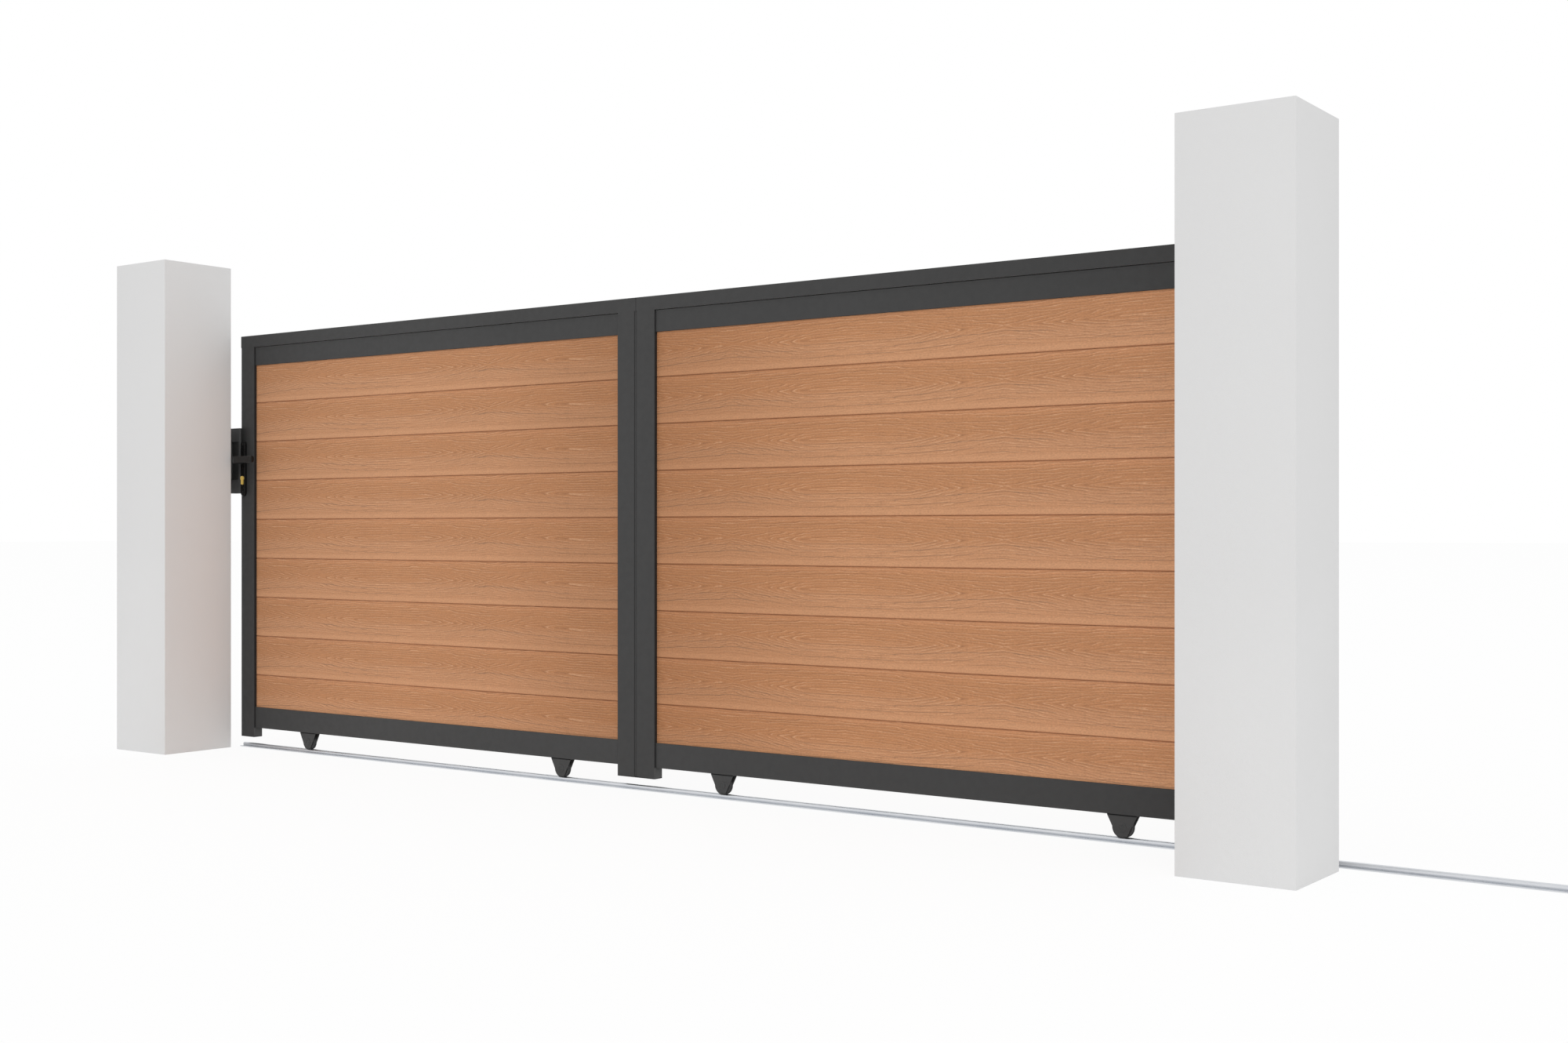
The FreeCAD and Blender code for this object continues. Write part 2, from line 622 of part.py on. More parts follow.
def guide_roller(y):
    x = guide_place()[0]
    z0 = CAP_BOTTOM + GUIDE_ROLLER_MARGIN
    z1 = LEAF_TOP - GUIDE_ROLLER_MARGIN
    body = rod_z(x, y, z0, z1, GUIDE_ROLLER_DIAMETER / 2)
    return body.cut(rod_z(x, y, z0, z1, GUIDE_PIN_DIAMETER / 2 + AXLE_FIT))


def end_stop_bracket():
    """Base plate, upright and gusset at the far end of the rail."""
    x0 = TRACK_END
    half = STOP_WIDTH / 2
    upright = box(x0, x0 + STOP_PLATE, LEAF_MID - half, LEAF_MID + half, 0, STOP_HEIGHT)
    base = box(x0, x0 + STOP_BASE_LENGTH, LEAF_MID - half, LEAF_MID + half, 0, STOP_PLATE)
    y0 = LEAF_MID - STOP_PLATE / 2
    gusset_points = [
        Vector(x0 + STOP_PLATE, y0, STOP_PLATE),
        Vector(x0 + STOP_BASE_LENGTH - STOP_PLATE, y0, STOP_PLATE),
        Vector(x0 + STOP_PLATE, y0, STOP_HEIGHT - STOP_PLATE),
    ]
    gusset = Part.Face(Part.makePolygon(gusset_points + gusset_points[:1])).extrude(Vector(0, STOP_PLATE, 0))
    return joined(upright, base, gusset)


def end_stop_buffer():
    centre = Vector(STOP_FACE, LEAF_MID, STOP_BUFFER_HEIGHT)
    return Part.makeCylinder(STOP_BUFFER_DIAMETER / 2, STOP_BUFFER_LENGTH, centre, ALONG_X)


def fixed_nodes():
    front_y, rear_y = guide_place()[1:]
    return {
        "left_pillar": pillar(-PILLAR_SIDE / 2),
        "right_pillar": pillar(RIGHT_PILLAR_START),
        "track_length_1": track_length(INNER_FACE, TRACK_JOINT),
        "track_length_2": track_length(TRACK_JOINT, TRACK_END),
        "latch_keeper": latch_keeper(),
        "guide_bracket": guide_bracket(),
        "guide_roller_front": guide_roller(front_y),
        "guide_roller_rear": guide_roller(rear_y),
        "end_stop_bracket": end_stop_bracket(),
        "end_stop_buffer": end_stop_buffer(),
    }


def bay_nodes(side, bay_left, bay_right):
    """Cap, rails and boards of one bay."""
    rail_left = bay_left + STILE_WIDTH
    rail_right = bay_right - STILE_WIDTH
    return {
        side + "_cap_profile": cap_profile(bay_left, bay_right),
        side + "_top_rail": top_rail(rail_left, rail_right),
        side + "_bottom_rail": bottom_rail(rail_left, rail_right),
        side + "_boards": boards(bay_left, bay_right),
    }


def stile_nodes():
    last = LEAF_RIGHT - STILE_WIDTH
    return {
        "left_end_stile": left_end_stile(),
        "left_centre_stile": stile(BAY_JOINT - STILE_WIDTH, boards_on_right=False, joint_side=1),
        "right_centre_stile": stile(BAY_JOINT, boards_on_right=True, joint_side=-1),
        "right_end_stile": stile(last, boards_on_right=False),
        "left_foot_cap": foot_cap(LEAF_LEFT, LEAF_LEFT + STILE_WIDTH),
        "centre_foot_cap": foot_cap(BAY_JOINT - STILE_WIDTH, BAY_JOINT + STILE_WIDTH),
        "right_foot_cap": foot_cap(last, LEAF_RIGHT),
    }


def wheel_nodes():
    nodes = {}
    for number, x in enumerate(WHEEL_PLACES, start=1):
        nodes["wheel_bracket_%d" % number] = wheel_bracket(x)
        nodes["wheel_axle_%d" % number] = wheel_axle(x)
        nodes["wheel_%d" % number] = wheel(x)
    return nodes


def lock_nodes():
    front_plate = lock_plate()
    front_lever = lever()
    return {
        "front_lock_plate": front_plate,
        "rear_lock_plate": mirrored_to_back(front_plate),
        "lock_cylinder": lock_cylinder(),
        "lock_faceplate": lock_faceplate(),
        "front_lever": front_lever,
        "rear_lever": mirrored_to_back(front_lever),
        "lever_spindle": lever_spindle(),
    }


def main():
    os.makedirs("parts", exist_ok=True)
    nodes = fixed_nodes()
    nodes.update(stile_nodes())
    nodes.update(bay_nodes("left", LEAF_LEFT, BAY_JOINT))
    nodes.update(bay_nodes("right", BAY_JOINT, LEAF_RIGHT))
    nodes.update(wheel_nodes())
    nodes.update(lock_nodes())
    for name, shape in nodes.items():
        shape.exportStep("parts/" + name + ".step")
    print(len(nodes), "nodes; travel", TRAVEL, "leaf top", LEAF_TOP, "track end", TRACK_END)


main()
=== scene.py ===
import math

import bmesh
import bpy
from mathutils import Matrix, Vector


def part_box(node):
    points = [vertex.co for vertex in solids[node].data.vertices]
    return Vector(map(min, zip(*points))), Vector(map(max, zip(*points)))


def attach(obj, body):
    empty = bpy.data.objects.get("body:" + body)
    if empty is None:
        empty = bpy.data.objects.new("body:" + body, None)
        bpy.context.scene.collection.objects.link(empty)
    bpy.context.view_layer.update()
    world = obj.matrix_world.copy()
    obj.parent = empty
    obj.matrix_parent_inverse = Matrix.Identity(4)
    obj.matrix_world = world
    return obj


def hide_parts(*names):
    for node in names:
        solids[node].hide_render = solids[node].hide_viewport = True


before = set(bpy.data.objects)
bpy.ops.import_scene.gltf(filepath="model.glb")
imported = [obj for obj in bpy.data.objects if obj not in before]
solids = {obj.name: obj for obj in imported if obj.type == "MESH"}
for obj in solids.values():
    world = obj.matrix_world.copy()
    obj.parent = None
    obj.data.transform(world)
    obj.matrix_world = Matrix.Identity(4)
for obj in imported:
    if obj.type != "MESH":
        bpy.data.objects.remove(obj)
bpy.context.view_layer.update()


# PILLARS
# Two square pillars of masonry blocks under a fine trowelled render, painted matt off-white.
# The render is rubbed over at the corners, so each arris is a small soft round instead of a sharp edge.

PILLAR_SOFT_ARRIS = 0.0012
RENDER_TONE_HEIGHT = 2.6
TROWEL_DEPTH = 0.0012
SAND_DEPTH = 0.00045
FLANK_PAINTED_LIGHT = 1.075
FLANK_LIGHT_LOW, FLANK_LIGHT_HIGH = 0.9, 1.9
FLANK_LIGHT_FRONT, FLANK_LIGHT_REAR = -0.25, 0.15
FACES_THAT_WAY = 0.5
SMOOTH_BELOW = math.radians(35)


def screen_tint(red, green, blue):
    """Linear colour of a tint given as it looks, 0 to 255."""
    shares = [value / 255 for value in (red, green, blue)]
    linear = [s / 12.92 if s <= 0.04045 else ((s + 0.055) / 1.055) ** 2.4 for s in shares]
    return (linear[0], linear[1], linear[2], 1.0)


def grey_tint(level):
    """Linear colour of a neutral tint given as it looks, 0 to 255."""
    return screen_tint(level, level, level)


class Finish:
    """A surface finish: one principled shader, with patterns that read the piece's own Object coordinates."""

    TINT_FROM, TINT_TO = 0.25, 0.75
    GLOSS_FROM, GLOSS_TO = 0.3, 0.7

    def __init__(self, name, colour, roughness, metallic=0.0, specular=0.5):
        self.material = bpy.data.materials.new(name)
        self.material.use_nodes = True
        self.nodes = self.material.node_tree.nodes
        self.links = self.material.node_tree.links
        self.shader = self.nodes["Principled BSDF"]
        self.shader.inputs["Base Color"].default_value = colour
        self.shader.inputs["Roughness"].default_value = roughness
        self.shader.inputs["Metallic"].default_value = metallic
        self.shader.inputs["Specular IOR Level"].default_value = specular
        where = self.nodes.new("ShaderNodeTexCoord")
        self.place = where.outputs["Object"]
        self.facing = where.outputs["Normal"]

    def feed(self, socket, value):
        """Link a socket to another one, or set it to a number."""
        if isinstance(value, bpy.types.NodeSocket):
            self.links.new(value, socket)
        else:
            socket.default_value = value

    def sum(self, operation, first, second=0.0):
        """Two values put together by one operation."""
        node = self.nodes.new("ShaderNodeMath")
        node.operation = operation
        self.feed(node.inputs[0], first)
        self.feed(node.inputs[1], second)
        return node.outputs[0]

    def smooth_floor(self, value, floor, softness):
        """Value held above a floor, with a soft bend."""
        node = self.nodes.new("ShaderNodeMath")
        node.operation = "SMOOTH_MAX"
        self.links.new(value, node.inputs[0])
        node.inputs[1].default_value = floor
        node.inputs[2].default_value = softness
        return node.outputs[0]

    def part(self, axis, vector):
        """One coordinate of a place or a direction."""
        node = self.nodes.new("ShaderNodeSeparateXYZ")
        self.links.new(vector, node.inputs["Vector"])
        return node.outputs[axis]

    def cloud(self, scale, stretch=(1, 1, 1), detail=3.0, roughness=0.5, place=None):
        """Noise from 0 to 1; stretch squeezes the pattern along each axis."""
        squeeze = self.nodes.new("ShaderNodeMapping")
        squeeze.inputs["Scale"].default_value = stretch
        self.links.new(place or self.place, squeeze.inputs["Vector"])
        noise = self.nodes.new("ShaderNodeTexNoise")
        noise.inputs["Scale"].default_value = scale
        noise.inputs["Detail"].default_value = detail
        noise.inputs["Roughness"].default_value = roughness
        self.links.new(squeeze.outputs["Vector"], noise.inputs["Vector"])
        return noise.outputs["Fac"]

    def spread(self, value, low, high, out_low, out_high):
        """Value carried from one range to another, held at both ends."""
        node = self.nodes.new("ShaderNodeMapRange")
        node.interpolation_type = "SMOOTHSTEP"
        ends = ("From Min", "From Max", "To Min", "To Max")
        for name, number in zip(ends, (low, high, out_low, out_high)):
            node.inputs[name].default_value = number
        self.links.new(value, node.inputs["Value"])
        return node.outputs["Result"]

    def ramp(self, value, stops):
        """Colour that changes with a value, given as stops of place and colour."""
        node = self.nodes.new("ShaderNodeValToRGB")
        elements = node.color_ramp.elements
        while len(elements) < len(stops):
            elements.new(0.5)
        for element, (position, colour) in zip(elements, stops):
            element.position = position
            element.color = colour
        self.links.new(value, node.inputs["Fac"])
        return node.outputs["Color"]

    def laid_over(self, under, over, amount):
        """A second colour laid over a first one by a varying amount."""
        node = self.nodes.new("ShaderNodeMix")
        node.data_type = "RGBA"
        self.links.new(amount, node.inputs["Factor"])
        self.links.new(under, node.inputs["A"])
        node.inputs["B"].default_value = over
        return node.outputs["Result"]

    def shaded(self, under, shade):
        """A colour multiplied by a shade."""
        node = self.nodes.new("ShaderNodeMix")
        node.data_type = "RGBA"
        node.blend_type = "MULTIPLY"
        node.inputs["Factor"].default_value = 1.0
        self.links.new(under, node.inputs["A"])
        self.links.new(shade, node.inputs["B"])
        return node.outputs["Result"]

    def paint(self, colour):
        """The colour of the finish."""
        self.links.new(colour, self.shader.inputs["Base Color"])

    def grey(self, value, *stops):
        """Ramp of grey levels from 0 to 1."""
        return self.ramp(value, [(position, (level, level, level, 1)) for position, level in stops])

    def drift(self, value, dark, light):
        """Colour that drifts between two tints with a noise."""
        return self.ramp(value, [(self.TINT_FROM, dark), (self.TINT_TO, light)])

    def gloss(self, value, low, high):
        """Roughness that changes between two levels with a noise."""
        rough = self.spread(value, self.GLOSS_FROM, self.GLOSS_TO, low, high)
        self.links.new(rough, self.shader.inputs["Roughness"])

    def relief(self, height, depth, under=None):
        """Bump of the given depth in metres, on top of another bump."""
        node = self.nodes.new("ShaderNodeBump")
        node.inputs["Strength"].default_value = 1.0
        node.inputs["Distance"].default_value = depth
        self.links.new(height, node.inputs["Height"])
        if under is not None:
            self.links.new(under, node.inputs["Normal"])
        return node.outputs["Normal"]

    def surface(self, normal):
        """The finished material, with its bumps."""
        self.links.new(normal, self.shader.inputs["Normal"])
        return self.material


def painted_bounce_flank(coat):
    """Painted light: paler on the flank beside the leaf, lower down and towards the rear."""
    flank = coat.sum("GREATER_THAN", coat.part("X", coat.facing), FACES_THAT_WAY)
    low = coat.spread(coat.part("Z", coat.place), FLANK_LIGHT_LOW, FLANK_LIGHT_HIGH, FLANK_PAINTED_LIGHT - 1, 0.0)
    rear = coat.spread(coat.part("Y", coat.place), FLANK_LIGHT_FRONT, FLANK_LIGHT_REAR, 0.0, 1.0)
    return coat.sum("ADD", 1.0, coat.sum("MULTIPLY", flank, coat.sum("MULTIPLY", low, rear)))


def rubbed_render(name, *shades):
    """Painted render, a little paler at the foot; each shade(coat) changes it from place to place."""
    coat = Finish(name, grey_tint(221), 0.9, specular=0.2)
    patches = coat.sum("MULTIPLY", coat.cloud(2.2, detail=5, roughness=0.6), 0.5)
    height = coat.sum("DIVIDE", coat.part("Z", coat.place), RENDER_TONE_HEIGHT)
    levels = [(0.15, grey_tint(224)), (0.55, grey_tint(219)), (1.00, grey_tint(217))]
    colour = coat.ramp(coat.sum("ADD", height, patches), levels)
    for shade in shades:
        colour = coat.shaded(colour, shade(coat))
    coat.paint(colour)
    trowel = coat.relief(coat.cloud(9, detail=2), TROWEL_DEPTH)
    sand = coat.relief(coat.cloud(620, detail=3, roughness=0.65), SAND_DEPTH, trowel)
    return coat.surface(sand)


def clear_picks():
    """Leave edit mode with nothing selected, so that the next operator acts on the new piece alone."""
    if bpy.context.object is not None and bpy.context.object.mode != "OBJECT":
        bpy.ops.object.mode_set(mode="OBJECT")
    bpy.ops.object.select_all(action="DESELECT")


def pick_edges(wanted):
    """In edit mode, select just the edges for which wanted(first end, second end) holds."""
    bpy.ops.mesh.select_mode(type="EDGE")
    bpy.ops.mesh.select_all(action="DESELECT")
    mesh = bmesh.from_edit_mesh(bpy.context.object.data)
    for edge in mesh.edges:
        edge.select_set(wanted(edge.verts[0].co, edge.verts[1].co))
    bmesh.update_edit_mesh(bpy.context.object.data)


def pick_faces(wanted):
    """In edit mode, select just the faces for which wanted(centre, normal) holds."""
    bpy.ops.mesh.select_mode(type="FACE")
    bpy.ops.mesh.select_all(action="DESELECT")
    mesh = bmesh.from_edit_mesh(bpy.context.object.data)
    mesh.normal_update()
    for face in mesh.faces:
        face.select_set(wanted(face.calc_center_median(), face.normal))
    bmesh.update_edit_mesh(bpy.context.object.data)


def new_block(name, low, high):
    """A block between two corners, left in edit mode to be shaped."""
    clear_picks()
    low, high = Vector(low), Vector(high)
    bpy.ops.mesh.primitive_cube_add(size=1, location=(low + high) / 2, scale=high - low)
    bpy.context.object.name = name
    bpy.ops.object.transform_apply(location=True, rotation=True, scale=True)
    bpy.ops.object.mode_set(mode="EDIT")
    return bpy.context.object


def round_off(offset, segments):
    """Bevel the selected edges to a round."""
    bpy.ops.mesh.bevel(offset=offset, segments=segments, profile=0.5)


def close_piece(piece, material, body):
    """Leave edit mode, settle the place into the mesh, and give the piece its finish and its body."""
    clear_picks()
    piece.select_set(True)
    bpy.context.view_layer.objects.active = piece
    bpy.ops.object.transform_apply(location=True, rotation=True, scale=True)
    bpy.ops.object.shade_smooth_by_angle(angle=SMOOTH_BELOW)
    piece.data.materials.clear()
    piece.data.materials.append(material)
    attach(piece, body)
    return piece


# The left pillar's flank beside the leaf gets painted light.
for side, shades in (("left", [painted_bounce_flank]), ("right", [])):
    low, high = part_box(side + "_pillar")
    pillar = new_block(side + "_rendered_pillar", low, high)
    pick_edges(lambda a, b: max(a.z, b.z) > high.z / 2)
    round_off(PILLAR_SOFT_ARRIS, 4)
    close_piece(pillar, rubbed_render(side + "_render", *shades), "site")
    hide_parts(side + "_pillar")


# GROUND RAIL
# Drawn aluminium rail in two lengths, laid on the ground: a flat base with a round bead for the grooved wheels.
# The die leaves fine streaks along it, and weather leaves it a little blotched.

STREAK_DEPTH = 0.00006


def drawn_aluminium():
    """Mill-finish aluminium, streaked along the rail."""
    metal = Finish("drawn_aluminium", screen_tint(220, 223, 227), 0.3, metallic=1.0)
    streaks = metal.cloud(1.0, stretch=(1.5, 900, 900), detail=3)
    smudges = metal.cloud(7, stretch=(1, 3, 3), detail=4)
    metal.paint(metal.drift(smudges, screen_tint(206, 209, 214), screen_tint(220, 222, 225)))
    metal.gloss(smudges, 0.25, 0.35)
    return metal.surface(metal.relief(streaks, STREAK_DEPTH))


def dress(material, *names):
    """Give CAD nodes that keep their shape their finish."""
    for name in names:
        solids[name].data.materials.clear()
        solids[name].data.materials.append(material)


dress(drawn_aluminium(), "track_length_1", "track_length_2")


# LATCH KEEPER
# Welded steel keeper on the back of the left pillar, coated like the frame, with a black moulded lining in
# each side pocket. Both are painted paler, as painted light against the shade of the pillar.
# Two anchor bolts hold its flange to the pillar.

POCKET_LEFT, POCKET_RIGHT = 0.0900, 0.1360
POCKET_LOW, POCKET_HIGH = 1.0350, 1.1830
POCKET_FLOOR_DEPTH = 0.012
LINING_SET_BACK = 0.002
LINING_SLIT = 0.0069
LINING_PLAY = 0.0004
LINING_RIM = 0.004
LINING_STEP = 0.0012
LINING_EDGE = 0.0006
ANCHOR_WASHER_RADIUS = 0.0105
ANCHOR_WASHER_THICKNESS = 0.002
ANCHOR_WASHER_EASE = 0.0004
ANCHOR_NUT_RADIUS = 0.0094
ANCHOR_NUT_HEIGHT = 0.008
ANCHOR_NUT_RIM, ANCHOR_NUT_CROWN = 0.0008, 0.0005
ANCHOR_STUD_RADIUS = 0.005
ANCHOR_STUD_SHOW = 0.005
ANCHOR_STUD_EASE = 0.0008
KEEPER_ANCHOR_PLACE = 0.035
KEEPER_ANCHOR_MARGIN = 0.040
KEEPER_FLANGE_BACK = 0.158
KEEPER_PAINTED_LIGHT = 2.3
KEEPER_PALE_FROM, KEEPER_PALE_TO = 0.080, 0.130
PEEL_DEPTH, GRIT_DEPTH = 0.00012, 0.00007
SPARK_DEPTH = 0.00005
ZINC_DEPTH = 0.00003
SAME_PLACE = 1e-6
SQUARE_ON = 0.9
TO_YARD, UPWARD = (0, 1, 0), (0, 0, 1)


def fine_anthracite(name, level, *shades):
    """Fine-textured powder coat of one grey level; each shade(coat) changes it from place to place."""
    coat = Finish(name, grey_tint(level), 0.6, specular=0.3)
    colour = coat.drift(coat.cloud(1.6, detail=3), grey_tint(level - 2), grey_tint(level + 2))
    for shade in shades:
        colour = coat.shaded(colour, shade(coat))
    coat.paint(colour)
    coat.gloss(coat.cloud(40, detail=2), 0.56, 0.66)
    peel = coat.relief(coat.cloud(260, detail=2), PEEL_DEPTH)
    grit = coat.relief(coat.cloud(1500, detail=2, roughness=0.6), GRIT_DEPTH, peel)
    return coat.surface(grit)


def keeper_painted_light(coat):
    """Painted light: paler towards the pillar, against the pillar's shade."""
    return coat.spread(coat.part("X", coat.place), KEEPER_PALE_FROM, KEEPER_PALE_TO, KEEPER_PAINTED_LIGHT, 1.0)


def moulded_plastic(name, level):
    """Plastic from a spark-eroded mould."""
    plastic = Finish(name, grey_tint(level), 0.55, specular=0.3)
    spark = plastic.cloud(900, detail=2)
    plastic.gloss(spark, 0.48, 0.62)
    return plastic.surface(plastic.relief(spark, SPARK_DEPTH))


def bright_zinc():
    """Zinc plating with a faint bloom."""
    plating = Finish("bright_zinc", screen_tint(196, 198, 201), 0.35, metallic=1.0)
    bloom = plating.cloud(60, detail=5, roughness=0.6)
    plating.paint(plating.drift(bloom, screen_tint(182, 184, 188), screen_tint(206, 208, 210)))
    plating.gloss(bloom, 0.28, 0.46)
    return plating.surface(plating.relief(plating.cloud(700, detail=2), ZINC_DEPTH))


def new_rod(name, sides, radius, foot, top):
    """An upright rod about the Z axis of the frame, left in edit mode to be shaped."""
    clear_picks()
    bpy.ops.mesh.primitive_cylinder_add(
        vertices=sides, radius=radius, depth=top - foot, location=(0, 0, (foot + top) / 2)
    )
    bpy.context.object.name = name
    bpy.ops.object.transform_apply(location=True, rotation=True, scale=True)
    bpy.ops.object.mode_set(mode="EDIT")
    return bpy.context.object


def ease_rims(offset, segments, *heights):
    """Bevel the rims of a rod that lie at these heights."""
    pick_edges(lambda a, b: any(max(abs(a.z - h), abs(b.z - h)) < SAME_PLACE for h in heights))
    round_off(offset, segments)


def join_pieces(first, *others):
    """One object from several, in the first one's name."""
    clear_picks()
    for piece in (first,) + others:
        piece.select_set(True)
    bpy.context.view_layer.objects.active = first
    bpy.ops.object.join()
    return first


def model_anchor():
    """Washer, hexagon nut and the end of the stud, standing on the origin."""
    nut_foot = ANCHOR_WASHER_THICKNESS
    nut_top = nut_foot + ANCHOR_NUT_HEIGHT
    stud_top = nut_top + ANCHOR_STUD_SHOW
    washer = new_rod("anchor", 40, ANCHOR_WASHER_RADIUS, 0, nut_foot)
    ease_rims(ANCHOR_WASHER_EASE, 2, nut_foot)
    nut = new_rod("anchor_nut", 6, ANCHOR_NUT_RADIUS, nut_foot, nut_top)
    pick_faces(lambda centre, normal: normal.z > SQUARE_ON)
    bpy.ops.mesh.inset(thickness=ANCHOR_NUT_RIM, depth=ANCHOR_NUT_CROWN)
    stud = new_rod("anchor_stud", 24, ANCHOR_STUD_RADIUS, nut_foot, stud_top)
    ease_rims(ANCHOR_STUD_EASE, 2, stud_top)
    return join_pieces(washer, nut, stud)


def place_copy(model, name, foot, outward, material, body, turn=0.0):
    """A copy of a model with its own mesh, its foot at one point and its axis along outward."""
    clear_picks()
    model.select_set(True)
    bpy.context.view_layer.objects.active = model
    bpy.ops.object.duplicate(linked=False)
    copy = bpy.context.object
    copy.name = name
    aim = Vector((0, 0, 1)).rotation_difference(Vector(outward))
    spin = Vector((0, 1, 0)).rotation_difference(Vector((math.sin(turn), math.cos(turn), 0)))
    copy.rotation_mode = "QUATERNION"
    copy.rotation_quaternion = aim @ spin
    copy.location = foot
    return close_piece(copy, material, body)


def place_anchor(name, foot, outward, turn):
    """An anchor bolt in one of the fixed pieces."""
    place_copy(anchor, name, foot, outward, zinc, "site", turn)


def drop_model(model):
    """Remove a model once its copies are placed."""
    clear_picks()
    model.select_set(True)
    bpy.ops.object.delete()


black_plastic = moulded_plastic("black_plastic", 24)
# The lining's grey is painted paler than black plastic, as painted light against the pillar's shade.
lining_plastic = moulded_plastic("lining_plastic", 53)
zinc = bright_zinc()
# The keeper's coat level, 74 against the frame's 60, is painted light against the pillar's shade.
dress(fine_anthracite("keeper_anthracite", 74, keeper_painted_light), "latch_keeper")
keeper_low, keeper_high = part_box("latch_keeper")
stile_low, stile_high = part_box("left_end_stile")
leaf_front, leaf_back = stile_low.y, stile_high.y
for side, shown, floor_y, facing in (
    ("front", leaf_front + LINING_SET_BACK, leaf_front + POCKET_FLOOR_DEPTH, -1),
    ("rear", leaf_back - LINING_SET_BACK, leaf_back - POCKET_FLOOR_DEPTH, 1),
):
    lining = new_block(
        side + "_keeper_lining",
        (POCKET_LEFT + LINING_SLIT, min(shown, floor_y), POCKET_LOW + LINING_PLAY),
        (POCKET_RIGHT - LINING_PLAY, max(shown, floor_y), POCKET_HIGH - LINING_PLAY),
    )
    pick_faces(lambda centre, normal: normal.y * facing > SQUARE_ON)
    bpy.ops.mesh.inset(thickness=LINING_RIM, depth=0)
    bpy.ops.mesh.inset(thickness=LINING_STEP, depth=-LINING_STEP)
    pick_edges(lambda a, b: max(abs(a.y - shown), abs(b.y - shown)) < SAME_PLACE)
    round_off(LINING_EDGE, 2)
    close_piece(lining, lining_plastic, "site")

anchor = model_anchor()
anchor_heights = (keeper_low.z + KEEPER_ANCHOR_MARGIN, keeper_high.z - KEEPER_ANCHOR_MARGIN)
for number, height in enumerate(anchor_heights, start=1):
    foot = (KEEPER_ANCHOR_PLACE, KEEPER_FLANGE_BACK, height)
    place_anchor("keeper_anchor_%d" % number, foot, TO_YARD, 0.2)


# UPPER GUIDE
# Galvanised angle bolted to the back of the right pillar, over the leaf. Two turned nylon rollers hang from it
# on pins, one on each side of the top profile, and nuts hold the pins to the shelf.

GUIDE_MIDDLE = 4.200
GUIDE_SHELF_TOP = 1.6045
GUIDE_FLANGE_BACK = 0.156
GUIDE_ANCHOR_HEIGHT = 1.665
GUIDE_ANCHOR_REACH = 0.020
ROLLER_RIM_EASE = 0.0018
ROLLER_FACE_RING = 0.0055
ROLLER_FACE_SINK = 0.0012
ROLLER_FACE_STEP = 0.0004
TURNED_DEPTH = 0.00005


def turned_nylon():
    """Natural nylon with the rings of the lathe."""
    nylon = Finish("turned_nylon", screen_tint(222, 221, 214), 0.45, specular=0.4)
    rings = nylon.cloud(1.0, stretch=(40, 40, 2600), detail=2)
    nylon.paint(nylon.drift(nylon.cloud(30, detail=4), screen_tint(216, 215, 207), screen_tint(226, 225, 219)))
    nylon.gloss(rings, 0.38, 0.52)
    return nylon.surface(nylon.relief(rings, TURNED_DEPTH))


dress(zinc, "guide_bracket")
roller_nylon = turned_nylon()
for side in ("front", "rear"):
    low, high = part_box("guide_roller_" + side)
    middle = (low + high) / 2
    roller = new_rod("guide_roller_turned_" + side, 64, (high.x - low.x) / 2, low.z, high.z)
    ease_rims(ROLLER_RIM_EASE, 3, low.z, high.z)
    pick_faces(lambda centre, normal: abs(normal.z) > 0.99)
    bpy.ops.mesh.inset(thickness=ROLLER_FACE_RING, depth=0, use_individual=True)
    bpy.ops.mesh.inset(thickness=ROLLER_FACE_STEP, depth=-ROLLER_FACE_SINK, use_individual=True)
    bpy.ops.object.mode_set(mode="OBJECT")
    roller.location = (middle.x, middle.y, 0)
    close_piece(roller, roller_nylon, "site")
    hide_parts("guide_roller_" + side)
    place_anchor("guide_pin_nut_" + side, (GUIDE_MIDDLE, middle.y, GUIDE_SHELF_TOP), UPWARD, 0.4)
for number, reach in enumerate((-GUIDE_ANCHOR_REACH, GUIDE_ANCHOR_REACH), start=1):
    foot = (GUIDE_MIDDLE + reach, GUIDE_FLANGE_BACK, GUIDE_ANCHOR_HEIGHT)
    place_anchor("guide_anchor_%d" % number, foot, TO_YARD, 0.3)


# END STOP
# Galvanised stop past the open position, welded from plate and bolted down at the four corners of its foot.
# A moulded rubber buffer with a rounded nose takes the leaf.

BUFFER_NOSE = 0.008
BUFFER_FOOT_EASE = 0.0008
STOP_FOOT_TOP = 0.008
STOP_ANCHOR_NEAR, STOP_ANCHOR_FAR = 0.036, 0.019
STOP_ANCHOR_SIDE = 0.018
RUBBER_DEPTH = 0.00008


def soft_rubber():
    """Black rubber, a little chalky."""
    rubber = Finish("soft_rubber", grey_tint(28), 0.8, specular=0.25)
    chalk = rubber.cloud(35, detail=5, roughness=0.65)
    rubber.paint(rubber.drift(chalk, grey_tint(25), screen_tint(34, 34, 33)))
    return rubber.surface(rubber.relief(rubber.cloud(800, detail=2), RUBBER_DEPTH))


